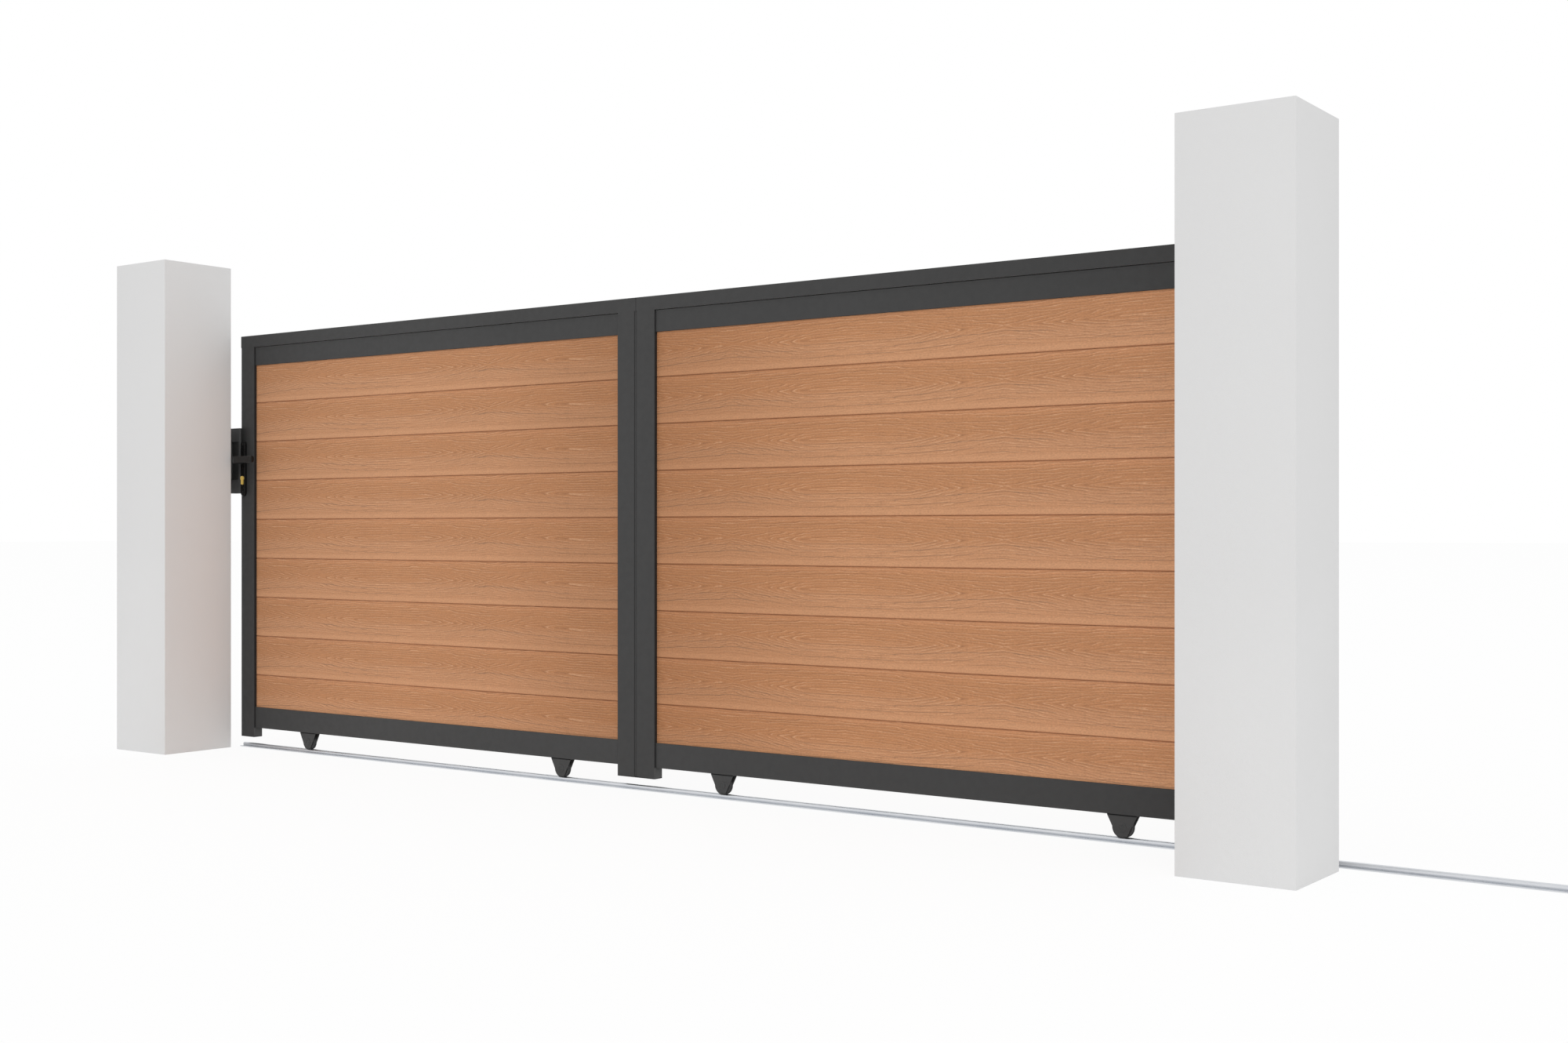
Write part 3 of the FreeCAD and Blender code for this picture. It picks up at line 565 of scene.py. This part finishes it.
dress(zinc, "end_stop_bracket")
buffer_low, buffer_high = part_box("end_stop_buffer")
buffer_length = buffer_high.x - buffer_low.x
buffer = new_rod("end_stop_rubber", 64, (buffer_high.z - buffer_low.z) / 2, 0, buffer_length)
ease_rims(BUFFER_NOSE, 8, buffer_length)
ease_rims(BUFFER_FOOT_EASE, 2, 0)
bpy.ops.object.mode_set(mode="OBJECT")
buffer.rotation_euler = (0, -math.pi / 2, 0)
buffer_middle = (buffer_low + buffer_high) / 2
buffer.location = (buffer_high.x, buffer_middle.y, buffer_middle.z)
close_piece(buffer, soft_rubber(), "site")
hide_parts("end_stop_buffer")
stop_low, stop_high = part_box("end_stop_bracket")
stop_corners = [
    (along, across, STOP_FOOT_TOP)
    for along in (stop_low.x + STOP_ANCHOR_NEAR, stop_high.x - STOP_ANCHOR_FAR)
    for across in (stop_low.y + STOP_ANCHOR_SIDE, stop_high.y - STOP_ANCHOR_SIDE)
]
for number, corner in enumerate(stop_corners, start=1):
    place_anchor("end_stop_anchor_%d" % number, corner, UPWARD, 0.15)
drop_model(anchor)


# LEAF FRAME
# Hollow aluminium profiles in fine-textured anthracite: stiles, rails set back between them, and a cap on top.
# The two bays are joined at the centre stiles, and black plugs close the feet of the stiles.

FRAME_LEVEL = 60
# The bottom rails' coat is painted lighter than the rest, as painted light from the floor.
BOTTOM_RAIL_LIT_LEVEL = 62.5
SHADE_RAMP_LENGTH = 4.25
LEAF_SHADE_TOP = 1.08
RECESS_PAINTED_SHADE = 0.38
FOOT_FLANK_PAINTED_LIGHT = 1.6
FOOT_FLANK_FADE = 0.002
CAP_JOINT = 2.154
CAP_SEAM_SHADE = 0.35
CAP_SEAM_EDGE, CAP_SEAM_FADE = 0.0008, 0.0018
CAP_UNDERSIDE_PAINTED_LIGHT = 4.0
RAIL_EDGE_PAINTED_LIGHT = 1.4
RAIL_EDGE_FROM, RAIL_EDGE_TO = 0.006, 0.001
LOCK_SHADOW_SHADE = 0.14
LOCK_SHADOW_FROM, LOCK_SHADOW_TO = 0.142, 0.232
LOCK_SHADOW_FADE = 0.009


def leaf_painted_shade(coat):
    """Painted light and shade along the leaf: darker at both ends, palest in the left bay."""
    along = coat.sum("DIVIDE", coat.part("X", coat.place), SHADE_RAMP_LENGTH)
    tone = coat.grey(along, (0.05, 0.84), (0.19, 0.98), (0.88, 0.81))
    return coat.sum("MULTIPLY", tone, LEAF_SHADE_TOP)


def recess_painted_shade(coat):
    """Painted shade on the flank beside the boards; painted light on the flank below the rail."""
    flank = coat.sum("GREATER_THAN", coat.part("X", coat.facing), FACES_THAT_WAY)
    low, high = rail_foot - FOOT_FLANK_FADE, rail_foot + FOOT_FLANK_FADE
    change = coat.spread(coat.part("Z", coat.place), low, high, FOOT_FLANK_PAINTED_LIGHT - 1, RECESS_PAINTED_SHADE - 1)
    return coat.sum("ADD", 1.0, coat.sum("MULTIPLY", flank, change))


def lock_painted_shadow(coat):
    """Painted shadow beside the lock, along the height of the keeper."""
    beside = coat.spread(coat.part("X", coat.place), LOCK_SHADOW_FROM, LOCK_SHADOW_TO, LOCK_SHADOW_SHADE - 1, 0.0)
    height = coat.part("Z", coat.place)
    lower = coat.spread(height, keeper_low.z - LOCK_SHADOW_FADE, keeper_low.z + LOCK_SHADOW_FADE, 0.0, 1.0)
    upper = coat.spread(height, keeper_high.z - LOCK_SHADOW_FADE, keeper_high.z + LOCK_SHADOW_FADE, 1.0, 0.0)
    return coat.sum("ADD", 1.0, coat.sum("MULTIPLY", beside, coat.sum("MULTIPLY", lower, upper)))


def cap_seam_and_painted_light(coat):
    """A fine dark seam where the two caps meet, and painted light on the underside."""
    away = coat.sum("ABSOLUTE", coat.sum("SUBTRACT", coat.part("X", coat.place), CAP_JOINT))
    seam = coat.spread(away, CAP_SEAM_EDGE, CAP_SEAM_FADE, CAP_SEAM_SHADE, 1.0)
    below = coat.spread(coat.part("Z", coat.facing), -0.9, -0.5, CAP_UNDERSIDE_PAINTED_LIGHT, 1.0)
    return coat.sum("MULTIPLY", seam, below)


def rail_painted_light(coat):
    """Painted light along the upper edge, in the shade under the cap."""
    low, high = rail_top - RAIL_EDGE_FROM, rail_top - RAIL_EDGE_TO
    return coat.spread(coat.part("Z", coat.place), low, high, 1.0, RAIL_EDGE_PAINTED_LIGHT)


rail_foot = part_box("left_bottom_rail")[0].z
rail_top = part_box("left_top_rail")[1].z
for coat_name, level, shades, names in (
    ("leaf", FRAME_LEVEL, [], ["left_centre_stile", "right_end_stile"]),
    ("lock_stile", FRAME_LEVEL, [recess_painted_shade, lock_painted_shadow], ["left_end_stile"]),
    ("stile", FRAME_LEVEL, [recess_painted_shade], ["right_centre_stile"]),
    ("bottom_rail", BOTTOM_RAIL_LIT_LEVEL, [], ["left_bottom_rail", "right_bottom_rail"]),
    ("top_rail", FRAME_LEVEL, [rail_painted_light], ["left_top_rail", "right_top_rail"]),
    ("cap", FRAME_LEVEL, [cap_seam_and_painted_light], ["left_cap_profile", "right_cap_profile"]),
):
    dress(fine_anthracite(coat_name + "_anthracite", level, leaf_painted_shade, *shades), *names)
dress(black_plastic, "left_foot_cap", "centre_foot_cap", "right_foot_cap")


# BOARDS
# Nine tongue-and-groove boards in each bay, let into the stiles and embossed by one roller, so that every board
# has the same grain: straight lines under its upper edge, arched rings in the middle, a few long sloping lines
# below, and a plain paler strip at its foot.

BOARD_FOOT = 0.1305
BOARD_STEP = 0.150
LEAF_MIDDLE = 0.216
REAR_GRAIN_SHIFT = 5.3
GRAIN_AXIS = 0.081
GRAIN_AXIS_SWAY = 0.045
RING_CORE = 0.000002
RING_WIDTH = 0.0082
ARCH_TAPER, EDGE_TAPER = 0.17, 0.05
ARCH_HALF_LENGTH, ARCH_START = 0.50, 0.20
CHECK_SLOPE = -0.06
CHECK_STEP = 0.019
LIFT_TONE_HEIGHT = 1.6
PRINT_DEPTH, FIBRE_DEPTH, STIPPLE_DEPTH = 0.00030, 0.00012, 0.00012


def embossed_boards():
    """Satin timber boards with embossed grain that starts anew on every board."""
    wood = Finish("embossed_boards", screen_tint(186, 135, 98), 0.55, specular=0.2)
    along, through, up = (wood.part(axis, wood.place) for axis in "XYZ")
    height = wood.sum("FRACT", wood.sum("DIVIDE", wood.sum("SUBTRACT", up, BOARD_FOOT), BOARD_STEP))
    across = wood.sum("MULTIPLY", height, BOARD_STEP)
    back = wood.sum("MULTIPLY", wood.sum("GREATER_THAN", through, LEAF_MIDDLE), REAR_GRAIN_SHIFT)

    def board_noise(layer, stretch, detail, lift=None):
        """Noise that is the same on every board; each layer reads another part of it."""
        joined = wood.nodes.new("ShaderNodeCombineXYZ")
        wood.links.new(along, joined.inputs["X"])
        wood.links.new(wood.sum("ADD", back, layer), joined.inputs["Y"])
        wood.links.new(lift or across, joined.inputs["Z"])
        return wood.cloud(1.0, stretch, detail, place=joined.outputs["Vector"])

    def centred(value, share):
        """Noise about zero, scaled."""
        return wood.sum("MULTIPLY", wood.sum("SUBTRACT", value, 0.5), share)

    def lines(layer, taper):
        """Pale and dark ring lines around the axis of the grain, broken here and there."""
        rings = wood.sum("ADD", wood.sum("ADD", reach, wood.sum("MULTIPLY", turns, taper)), waver)
        rings = wood.sum("FRACT", wood.sum("DIVIDE", rings, RING_WIDTH))
        broken = wood.spread(board_noise(layer, (6, 1, 120), 2.0), 0.36, 0.60, 0.10, 1.0)
        pale = wood.grey(rings, (0.28, 0), (0.42, 1), (0.54, 0))
        dark = wood.grey(rings, (0.54, 0), (0.70, 1), (0.92, 0))
        return wood.sum("MULTIPLY", pale, broken), wood.sum("MULTIPLY", dark, broken)

    def blended(middle, edge):
        """Arched lines in the middle of the board and straight ones towards its edges."""
        return wood.sum("ADD", wood.sum("MULTIPLY", middle, arched), wood.sum("MULTIPLY", edge, straight))

    axis = wood.sum("ADD", GRAIN_AXIS, centred(board_noise(2.0, (1.4, 1, 0), 1.5), GRAIN_AXIS_SWAY))
    offset = wood.sum("SUBTRACT", across, axis)
    reach = wood.sum("SQRT", wood.sum("ADD", wood.sum("MULTIPLY", offset, offset), RING_CORE))
    turns = wood.sum("ADD", along, centred(board_noise(7.0, (1.7, 1, 0), 1.0), 0.24))
    turns = wood.sum("SUBTRACT", wood.sum("PINGPONG", turns, ARCH_HALF_LENGTH), ARCH_START)
    turns = wood.smooth_floor(turns, 0.0, 0.12)
    waver = centred(board_noise(4.0, (13, 1, 60), 3.0), 0.014)
    arched = wood.grey(height, (0.24, 0), (0.36, 1), (0.66, 1), (0.76, 0))
    straight = wood.grey(height, (0.08, 0), (0.18, 0.6), (0.26, 0.8), (0.36, 0), (0.66, 0), (0.76, 1))
    middle_pale, middle_dark = lines(9.0, ARCH_TAPER)
    edge_pale, edge_dark = lines(11.0, EDGE_TAPER)
    pale_print = blended(middle_pale, edge_pale)
    dark_print = blended(middle_dark, edge_dark)
    sloping = wood.sum("ADD", across, wood.sum("MULTIPLY", turns, CHECK_SLOPE))
    checks = wood.sum("FRACT", wood.sum("DIVIDE", wood.sum("ADD", sloping, waver), CHECK_STEP))
    checks = wood.grey(checks, (0.43, 0), (0.50, 1), (0.57, 0))
    kept = wood.spread(board_noise(31.0, (2.2, 1, 60), 1.0, sloping), 0.42, 0.56, 0, 1)
    check_band = wood.grey(height, (0.14, 0), (0.20, 1), (0.42, 1), (0.50, 0))
    check_lines = wood.sum("MULTIPLY", wood.sum("MULTIPLY", checks, kept), check_band)
    fibres = board_noise(15.0, (30, 1, 320), 2.0)
    stipple = board_noise(19.0, (150, 1, 320), 2.0)
    patches = board_noise(23.0, (1.2, 1, 14), 2.0)

    groove = screen_tint(168, 117, 84)
    foot_strip = screen_tint(196, 145, 108)
    lower_body = screen_tint(189, 138, 101)
    upper_body = screen_tint(182, 129, 90)
    upper_edge = screen_tint(189, 134, 95)
    colour = wood.ramp(height, [
        (0.0, groove), (0.030, foot_strip), (0.10, foot_strip), (0.14, lower_body), (0.38, lower_body),
        (0.56, upper_body), (0.86, upper_body), (0.93, upper_edge), (0.968, upper_edge), (1.0, groove),
    ])
    for line, pattern, amount in (
        (screen_tint(226, 182, 147), pale_print, 0.56),
        (screen_tint(128, 90, 66), dark_print, 0.46),
        (screen_tint(112, 92, 76), check_lines, 0.70),
    ):
        colour = wood.laid_over(colour, line, wood.sum("MULTIPLY", pattern, amount))
    tone = 1.25
    for pattern, amount in ((fibres, 0.42), (stipple, 0.70), (patches, 0.20)):
        tone = wood.sum("ADD", tone, centred(pattern, amount))
    # Painted shade along the boards, darkest beside the centre stiles, and painted light at the right end by
    # the pillar.
    length_painted_shade = wood.ramp(wood.sum("DIVIDE", along, SHADE_RAMP_LENGTH), [
        (0.06, (0.835, 0.835, 0.835, 1)),
        (0.24, (0.895, 0.895, 0.89, 1)),
        (0.36, (0.86, 0.855, 0.845, 1)),
        (0.47, (0.70, 0.675, 0.64, 1)),
        (0.53, (0.70, 0.66, 0.61, 1)),
        (0.70, (0.865, 0.86, 0.845, 1)),
        (0.88, (0.875, 0.875, 0.875, 1)),
        (0.94, (1.0, 1.0, 1.0, 1)),
    ])
    lifted = wood.sum("DIVIDE", up, LIFT_TONE_HEIGHT)
    lift_tone = wood.grey(lifted, (0.10, 1.0), (0.25, 0.972), (0.60, 0.94), (0.95, 0.925))
    for shade in (tone, length_painted_shade, lift_tone):
        colour = wood.shaded(colour, shade)
    wood.paint(colour)
    wood.gloss(fibres, 0.50, 0.62)
    pressed = wood.sum("SUBTRACT", pale_print, dark_print)
    printed = wood.relief(wood.sum("SUBTRACT", pressed, check_lines), PRINT_DEPTH)
    combed = wood.relief(fibres, FIBRE_DEPTH, printed)
    return wood.surface(wood.relief(stipple, STIPPLE_DEPTH, combed))


dress(embossed_boards(), "left_boards", "right_boards")


# WHEEL BRACKETS, AXLES AND WHEELS
# Brackets folded from plate under the bottom rails, coated with the frame, with rounded feet and eased edges.
# A pin with a thin washer on each side carries the grooved wheel, which is turned from dark nylon.

BRACKET_TOP_HALF = 0.044
BRACKET_FOOT_SHARE = 29 / 88
BRACKET_FOOT_EASE = 0.005
BRACKET_FOLD = 0.004
BRACKET_PLATE = 0.0025
BRACKET_EDGE = 0.0009
CHANNEL_CUT_REACH, CHANNEL_CUT_DROP = 0.06, 0.01
FOLD_SHADE_FROM, FOLD_SHADE_TO = 0.0016, 0.0044
FOLD_SHADE_WAVER = 0.001
AXLE_HEIGHT = 0.042
WASHER_RADIUS = 0.0135
WASHER_HOLE = 0.0062
WASHER_THICKNESS = 0.0008
WASHER_EASE = 0.0002
WASHER_CUT_LOW, WASHER_CUT_HIGH = -0.001, 0.002
NYLON_DEPTH = 0.00006
BRACKET_COAT_DEPTH = 0.00008


def dark_nylon():
    """Dark nylon, scuffed by the rail."""
    nylon = Finish("dark_nylon", screen_tint(52, 52, 53), 0.5, specular=0.35)
    scuffs = nylon.cloud(90, detail=4)
    nylon.paint(nylon.drift(scuffs, screen_tint(48, 48, 49), grey_tint(58)))
    nylon.gloss(scuffs, 0.42, 0.58)
    return nylon.surface(nylon.relief(nylon.cloud(500, detail=2), NYLON_DEPTH))


def bracket_anthracite(top):
    """The frame's coat, with painted shade along the fold under the rail."""
    coat = Finish("bracket_anthracite", grey_tint(60), 0.55, specular=0.35)
    uneven = coat.sum("MULTIPLY", coat.cloud(120, detail=3), FOLD_SHADE_WAVER)
    depth = coat.sum("SUBTRACT", top, coat.sum("ADD", coat.part("Z", coat.place), uneven))
    fold = coat.spread(depth, FOLD_SHADE_FROM, FOLD_SHADE_TO, 0.0, 1.0)
    # The dark grey along the top of the cheeks is painted shade.
    coat.paint(coat.drift(fold, grey_tint(16), grey_tint(61)))
    coat.gloss(coat.cloud(40, detail=2), 0.50, 0.62)
    return coat.surface(coat.relief(coat.cloud(900, detail=2), BRACKET_COAT_DEPTH))


def cut_away(body, tool):
    """Cut one model out of another and remove the cutter."""
    clear_picks()
    body.select_set(True)
    bpy.context.view_layer.objects.active = body
    cut = body.modifiers.new("cut", "BOOLEAN")
    cut.object = tool
    cut.solver = "EXACT"
    bpy.ops.object.modifier_apply(modifier=cut.name)
    drop_model(tool)
    bpy.context.view_layer.objects.active = body
    return body


def model_bracket(foot, top, half_width):
    """Inverted channel with tapered cheeks, standing over the origin at its own height."""
    body = new_block(
        "bracket", (-BRACKET_TOP_HALF, -half_width, foot), (BRACKET_TOP_HALF, half_width, top)
    )
    pick_faces(lambda centre, normal: normal.z < -SQUARE_ON)
    bpy.ops.transform.resize(value=(BRACKET_FOOT_SHARE, 1, 1), center_override=(0, 0, foot))
    pick_edges(lambda a, b: max(a.z, b.z) < foot + SAME_PLACE and abs(a.x - b.x) < SAME_PLACE)
    round_off(BRACKET_FOOT_EASE, 8)
    pick_edges(lambda a, b: min(a.z, b.z) > top - SAME_PLACE and abs(a.y - b.y) < SAME_PLACE)
    round_off(BRACKET_FOLD, 6)
    channel = new_block(
        "bracket_channel",
        (-CHANNEL_CUT_REACH, BRACKET_PLATE - half_width, foot - CHANNEL_CUT_DROP),
        (CHANNEL_CUT_REACH, half_width - BRACKET_PLATE, top - BRACKET_PLATE),
    )
    cut_away(body, channel)
    bpy.ops.object.mode_set(mode="EDIT")
    pick_edges(
        lambda a, b: min(abs(a.y), abs(b.y)) > half_width - SAME_PLACE
        and a.y * b.y > 0
        and min(a.z, b.z) < top - BRACKET_FOLD - 0.0005
    )
    round_off(BRACKET_EDGE, 3)
    bpy.ops.object.mode_set(mode="OBJECT")
    return body


def model_washer():
    """Flat ring standing on the origin."""
    ring = new_rod("washer", 48, WASHER_RADIUS, 0, WASHER_THICKNESS)
    hole = new_rod("washer_hole", 48, WASHER_HOLE, WASHER_CUT_LOW, WASHER_CUT_HIGH)
    cut_away(ring, hole)
    bpy.ops.object.mode_set(mode="EDIT")
    ease_rims(WASHER_EASE, 2, WASHER_THICKNESS)
    bpy.ops.object.mode_set(mode="OBJECT")
    return ring


bracket_low, bracket_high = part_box("wheel_bracket_1")
bracket_coat = bracket_anthracite(bracket_high.z)
wheel_nylon = dark_nylon()
bracket = model_bracket(bracket_low.z, bracket_high.z, (bracket_high.y - bracket_low.y) / 2)
washer = model_washer()
for number in range(1, 5):
    low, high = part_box("wheel_bracket_%d" % number)
    middle = (low + high) / 2
    folded = place_copy(
        bracket, "folded_wheel_bracket_%d" % number, (middle.x, middle.y, 0), UPWARD,
        bracket_coat, "leaf",
    )
    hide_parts("wheel_bracket_%d" % number)
    for side, face, outward in (("front", low.y, -1), ("rear", high.y, 1)):
        place_copy(
            washer, "axle_washer_%d_%s" % (number, side), (middle.x, face, AXLE_HEIGHT), (0, outward, 0),
            bracket_coat, "leaf",
        )
    dress(bracket_coat, "wheel_axle_%d" % number)
    dress(wheel_nylon, "wheel_%d" % number)
drop_model(bracket)
drop_model(washer)


# LOCK SET
# Cast lever handles and round-ended backplates in satin black on both faces, a brass profile cylinder between
# them, and a zinc faceplate let into the leading edge. Screws with hexagon sockets hold the plates, and a
# plastic plug closes the end of each lever.

SCREW_HEAD_RADIUS = 0.0046
SCREW_HEAD_HEIGHT = 0.0012
SCREW_HEAD_SINK = 0.0004
SCREW_HEAD_EASE = 0.0008
SCREW_SOCKET_RADIUS = 0.0023
SCREW_SOCKET_FLOOR = 0.0001
LOCK_MIDDLE = 0.173
LOCK_SCREW_LOW, LOCK_SCREW_HIGH = 0.9835, 1.1705
LEADING_EDGE = 0.152
FACEPLATE_SCREW_LOW, FACEPLATE_SCREW_HIGH = 0.972, 1.178
LEVER_MIDDLE = 1.110
LEVER_BAR = 0.011
PLUG_THICKNESS = 0.0016
PLUG_HALF_HEIGHT = 0.0126
PLUG_LAP = 0.0004
PLUG_ROUND = 0.0086
PLUG_RIM, PLUG_CROWN = 0.0012, 0.0004
CAST_DEPTH = 0.00005
BRUSHED_DEPTH = 0.00002


def satin_black(name, level, specular, smooth, rough):
    """Satin black coat over a casting, between two roughness levels."""
    coat = Finish(name, grey_tint(level), 0.3, specular=specular)
    wear = coat.cloud(25, detail=4)
    coat.paint(coat.drift(wear, grey_tint(level - 2), grey_tint(level + 2)))
    coat.gloss(wear, smooth, rough)
    return coat.surface(coat.relief(coat.cloud(1100, detail=2), CAST_DEPTH))


def satin_brass():
    """Satin brass, duller where it is handled."""
    brass = Finish("satin_brass", screen_tint(236, 201, 104), 0.5, metallic=0.25)
    handled = brass.cloud(120, detail=4)
    brass.paint(brass.drift(handled, screen_tint(232, 196, 96), screen_tint(241, 208, 116)))
    brass.gloss(handled, 0.42, 0.55)
    brushing = brass.cloud(1.0, stretch=(2200, 60, 2200), detail=1)
    return brass.surface(brass.relief(brushing, BRUSHED_DEPTH))


def model_screw():
    """Low round head with a hexagon socket, standing on the origin."""
    head = new_rod("screw", 36, SCREW_HEAD_RADIUS, -SCREW_HEAD_SINK, SCREW_HEAD_HEIGHT)
    ease_rims(SCREW_HEAD_EASE, 3, SCREW_HEAD_HEIGHT)
    socket = new_rod("screw_socket", 6, SCREW_SOCKET_RADIUS, SCREW_SOCKET_FLOOR, SCREW_HEAD_HEIGHT * 2)
    return cut_away(head, socket)


hardware_black = satin_black("satin_black", 17, 0.33, 0.16, 0.26)
plate_black = satin_black("plate_black", 14, 0.30, 0.24, 0.36)
plug_plastic = moulded_plastic("plug_plastic", 15)
dress(hardware_black, "front_lever", "rear_lever")
dress(plate_black, "front_lock_plate", "rear_lock_plate")
dress(satin_brass(), "lock_cylinder")
dress(zinc, "lock_faceplate", "lever_spindle")

screw = model_screw()
front_face, rear_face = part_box("front_lock_plate")[0].y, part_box("rear_lock_plate")[1].y
for side, face, outward in (("front", front_face, -1), ("rear", rear_face, 1)):
    for end, height in (("lower", LOCK_SCREW_LOW), ("upper", LOCK_SCREW_HIGH)):
        place_copy(
            screw, "%s_plate_screw_%s" % (side, end), (LOCK_MIDDLE, face, height), (0, outward, 0),
            hardware_black, "leaf", 0.3,
        )
for end, height in (("lower", FACEPLATE_SCREW_LOW), ("upper", FACEPLATE_SCREW_HIGH)):
    place_copy(
        screw, "faceplate_screw_" + end, (LEADING_EDGE, LEAF_MIDDLE, height), (-1, 0, 0),
        zinc, "leaf", 0.7,
    )
drop_model(screw)

lever_low, lever_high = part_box("front_lever")
bar_outer, bar_inner = lever_low.y, lever_low.y + LEVER_BAR
for side, outer, inner in (
    ("front", bar_outer, bar_inner),
    ("rear", 2 * LEAF_MIDDLE - bar_outer, 2 * LEAF_MIDDLE - bar_inner),
):
    plug = new_block(
        side + "_lever_end_plug",
        (lever_high.x - PLUG_LAP, min(outer, inner) + PLUG_LAP, LEVER_MIDDLE - PLUG_HALF_HEIGHT),
        (lever_high.x + PLUG_THICKNESS, max(outer, inner) - PLUG_LAP, LEVER_MIDDLE + PLUG_HALF_HEIGHT),
    )
    pick_edges(lambda a, b: max(abs(a.y - inner), abs(b.y - inner)) < 0.001 and abs(a.x - b.x) > 0.0005)
    round_off(PLUG_ROUND, 8)
    pick_faces(lambda centre, normal: normal.x > SQUARE_ON)
    bpy.ops.mesh.inset(thickness=PLUG_RIM, depth=PLUG_CROWN)
    close_piece(plug, plug_plastic, "lever")


# STUDIO
# Plain pale floor, an even white surround and one large soft lamp, far off to the right of the street.
# The camera stands at the photograph's viewing angle.

FLOOR_SIZE = 240
FLOOR_TINT = (0.95, 0.95, 0.95, 1.0)
FLOOR_GLOW_SHARE = 0.91
WHITE = (1, 1, 1, 1)
SURROUND_LIGHT = 0.87
LAMP_PLACE = (24.5, -29.0, 25.6)
LAMP_AIM = (2.2, 0.1, 0.8)
LAMP_SIZE = 22.0
LAMP_POWER = 3700.0
CAMERA_PLACE = (5.938555, -4.293989, 0.838663)
CAMERA_TURN = (math.pi / 2, 0, 0.6358476)
CAMERA_SENSOR = 36.0
CAMERA_LENS = 41.635
CAMERA_SHIFT = (0.01983, 0.00555)
CAMERA_REACH = 400.0


def seen_rays(tree):
    """1 for the rays of the camera and of reflections, 0 for those that light the gate."""
    rays = tree.nodes.new("ShaderNodeLightPath")
    seen = rays.outputs["Is Camera Ray"]
    for kind in ("Is Glossy Ray", "Is Transmission Ray"):
        either = tree.nodes.new("ShaderNodeMath")
        either.operation = "MAXIMUM"
        tree.links.new(seen, either.inputs[0])
        tree.links.new(rays.outputs[kind], either.inputs[1])
        seen = either.outputs[0]
    return seen


clear_picks()
bpy.ops.mesh.primitive_plane_add(size=FLOOR_SIZE, location=(4.0, 0.0, 0.0))
floor = bpy.context.object
floor.name = "studio_floor"
floor_paint = bpy.data.materials.new("studio_floor")
floor_paint.use_nodes = True
tree = floor_paint.node_tree
tree.nodes.remove(tree.nodes["Principled BSDF"])
matt = tree.nodes.new("ShaderNodeBsdfDiffuse")
matt.inputs["Color"].default_value = FLOOR_TINT
glow = tree.nodes.new("ShaderNodeEmission")
share = tree.nodes.new("ShaderNodeMath")
share.operation = "MULTIPLY"
share.inputs[1].default_value = FLOOR_GLOW_SHARE
blend = tree.nodes.new("ShaderNodeMixShader")
tree.links.new(seen_rays(tree), share.inputs[0])
tree.links.new(share.outputs[0], blend.inputs["Fac"])
tree.links.new(matt.outputs[0], blend.inputs[1])
tree.links.new(glow.outputs[0], blend.inputs[2])
tree.links.new(blend.outputs[0], tree.nodes["Material Output"].inputs["Surface"])
floor.data.materials.append(floor_paint)

surround = bpy.data.worlds.new("even_surround")
surround.use_nodes = True
bpy.context.scene.world = surround
tree = surround.node_tree
soft = tree.nodes["Background"]
soft.inputs["Color"].default_value = WHITE
soft.inputs["Strength"].default_value = SURROUND_LIGHT
white = tree.nodes.new("ShaderNodeBackground")
white.inputs["Color"].default_value = WHITE
white.inputs["Strength"].default_value = 1.0
choose = tree.nodes.new("ShaderNodeMixShader")
tree.links.new(seen_rays(tree), choose.inputs["Fac"])
tree.links.new(soft.outputs[0], choose.inputs[1])
tree.links.new(white.outputs[0], choose.inputs[2])
tree.links.new(choose.outputs[0], tree.nodes["World Output"].inputs["Surface"])

bpy.ops.object.light_add(type="AREA", location=LAMP_PLACE)
lamp = bpy.context.object
lamp.name = "soft_lamp"
lamp.data.shape = "SQUARE"
lamp.data.size = LAMP_SIZE
lamp.data.energy = LAMP_POWER
lamp.rotation_euler = (Vector(LAMP_AIM) - lamp.location).to_track_quat("-Z", "Y").to_euler()

bpy.ops.object.camera_add(location=CAMERA_PLACE, rotation=CAMERA_TURN)
camera = bpy.context.object
camera.data.sensor_fit = "HORIZONTAL"
camera.data.sensor_width = CAMERA_SENSOR
camera.data.lens = CAMERA_LENS
camera.data.shift_x, camera.data.shift_y = CAMERA_SHIFT
camera.data.clip_end = CAMERA_REACH
bpy.context.scene.camera = camera
bpy.context.scene.view_settings.view_transform = "Standard"
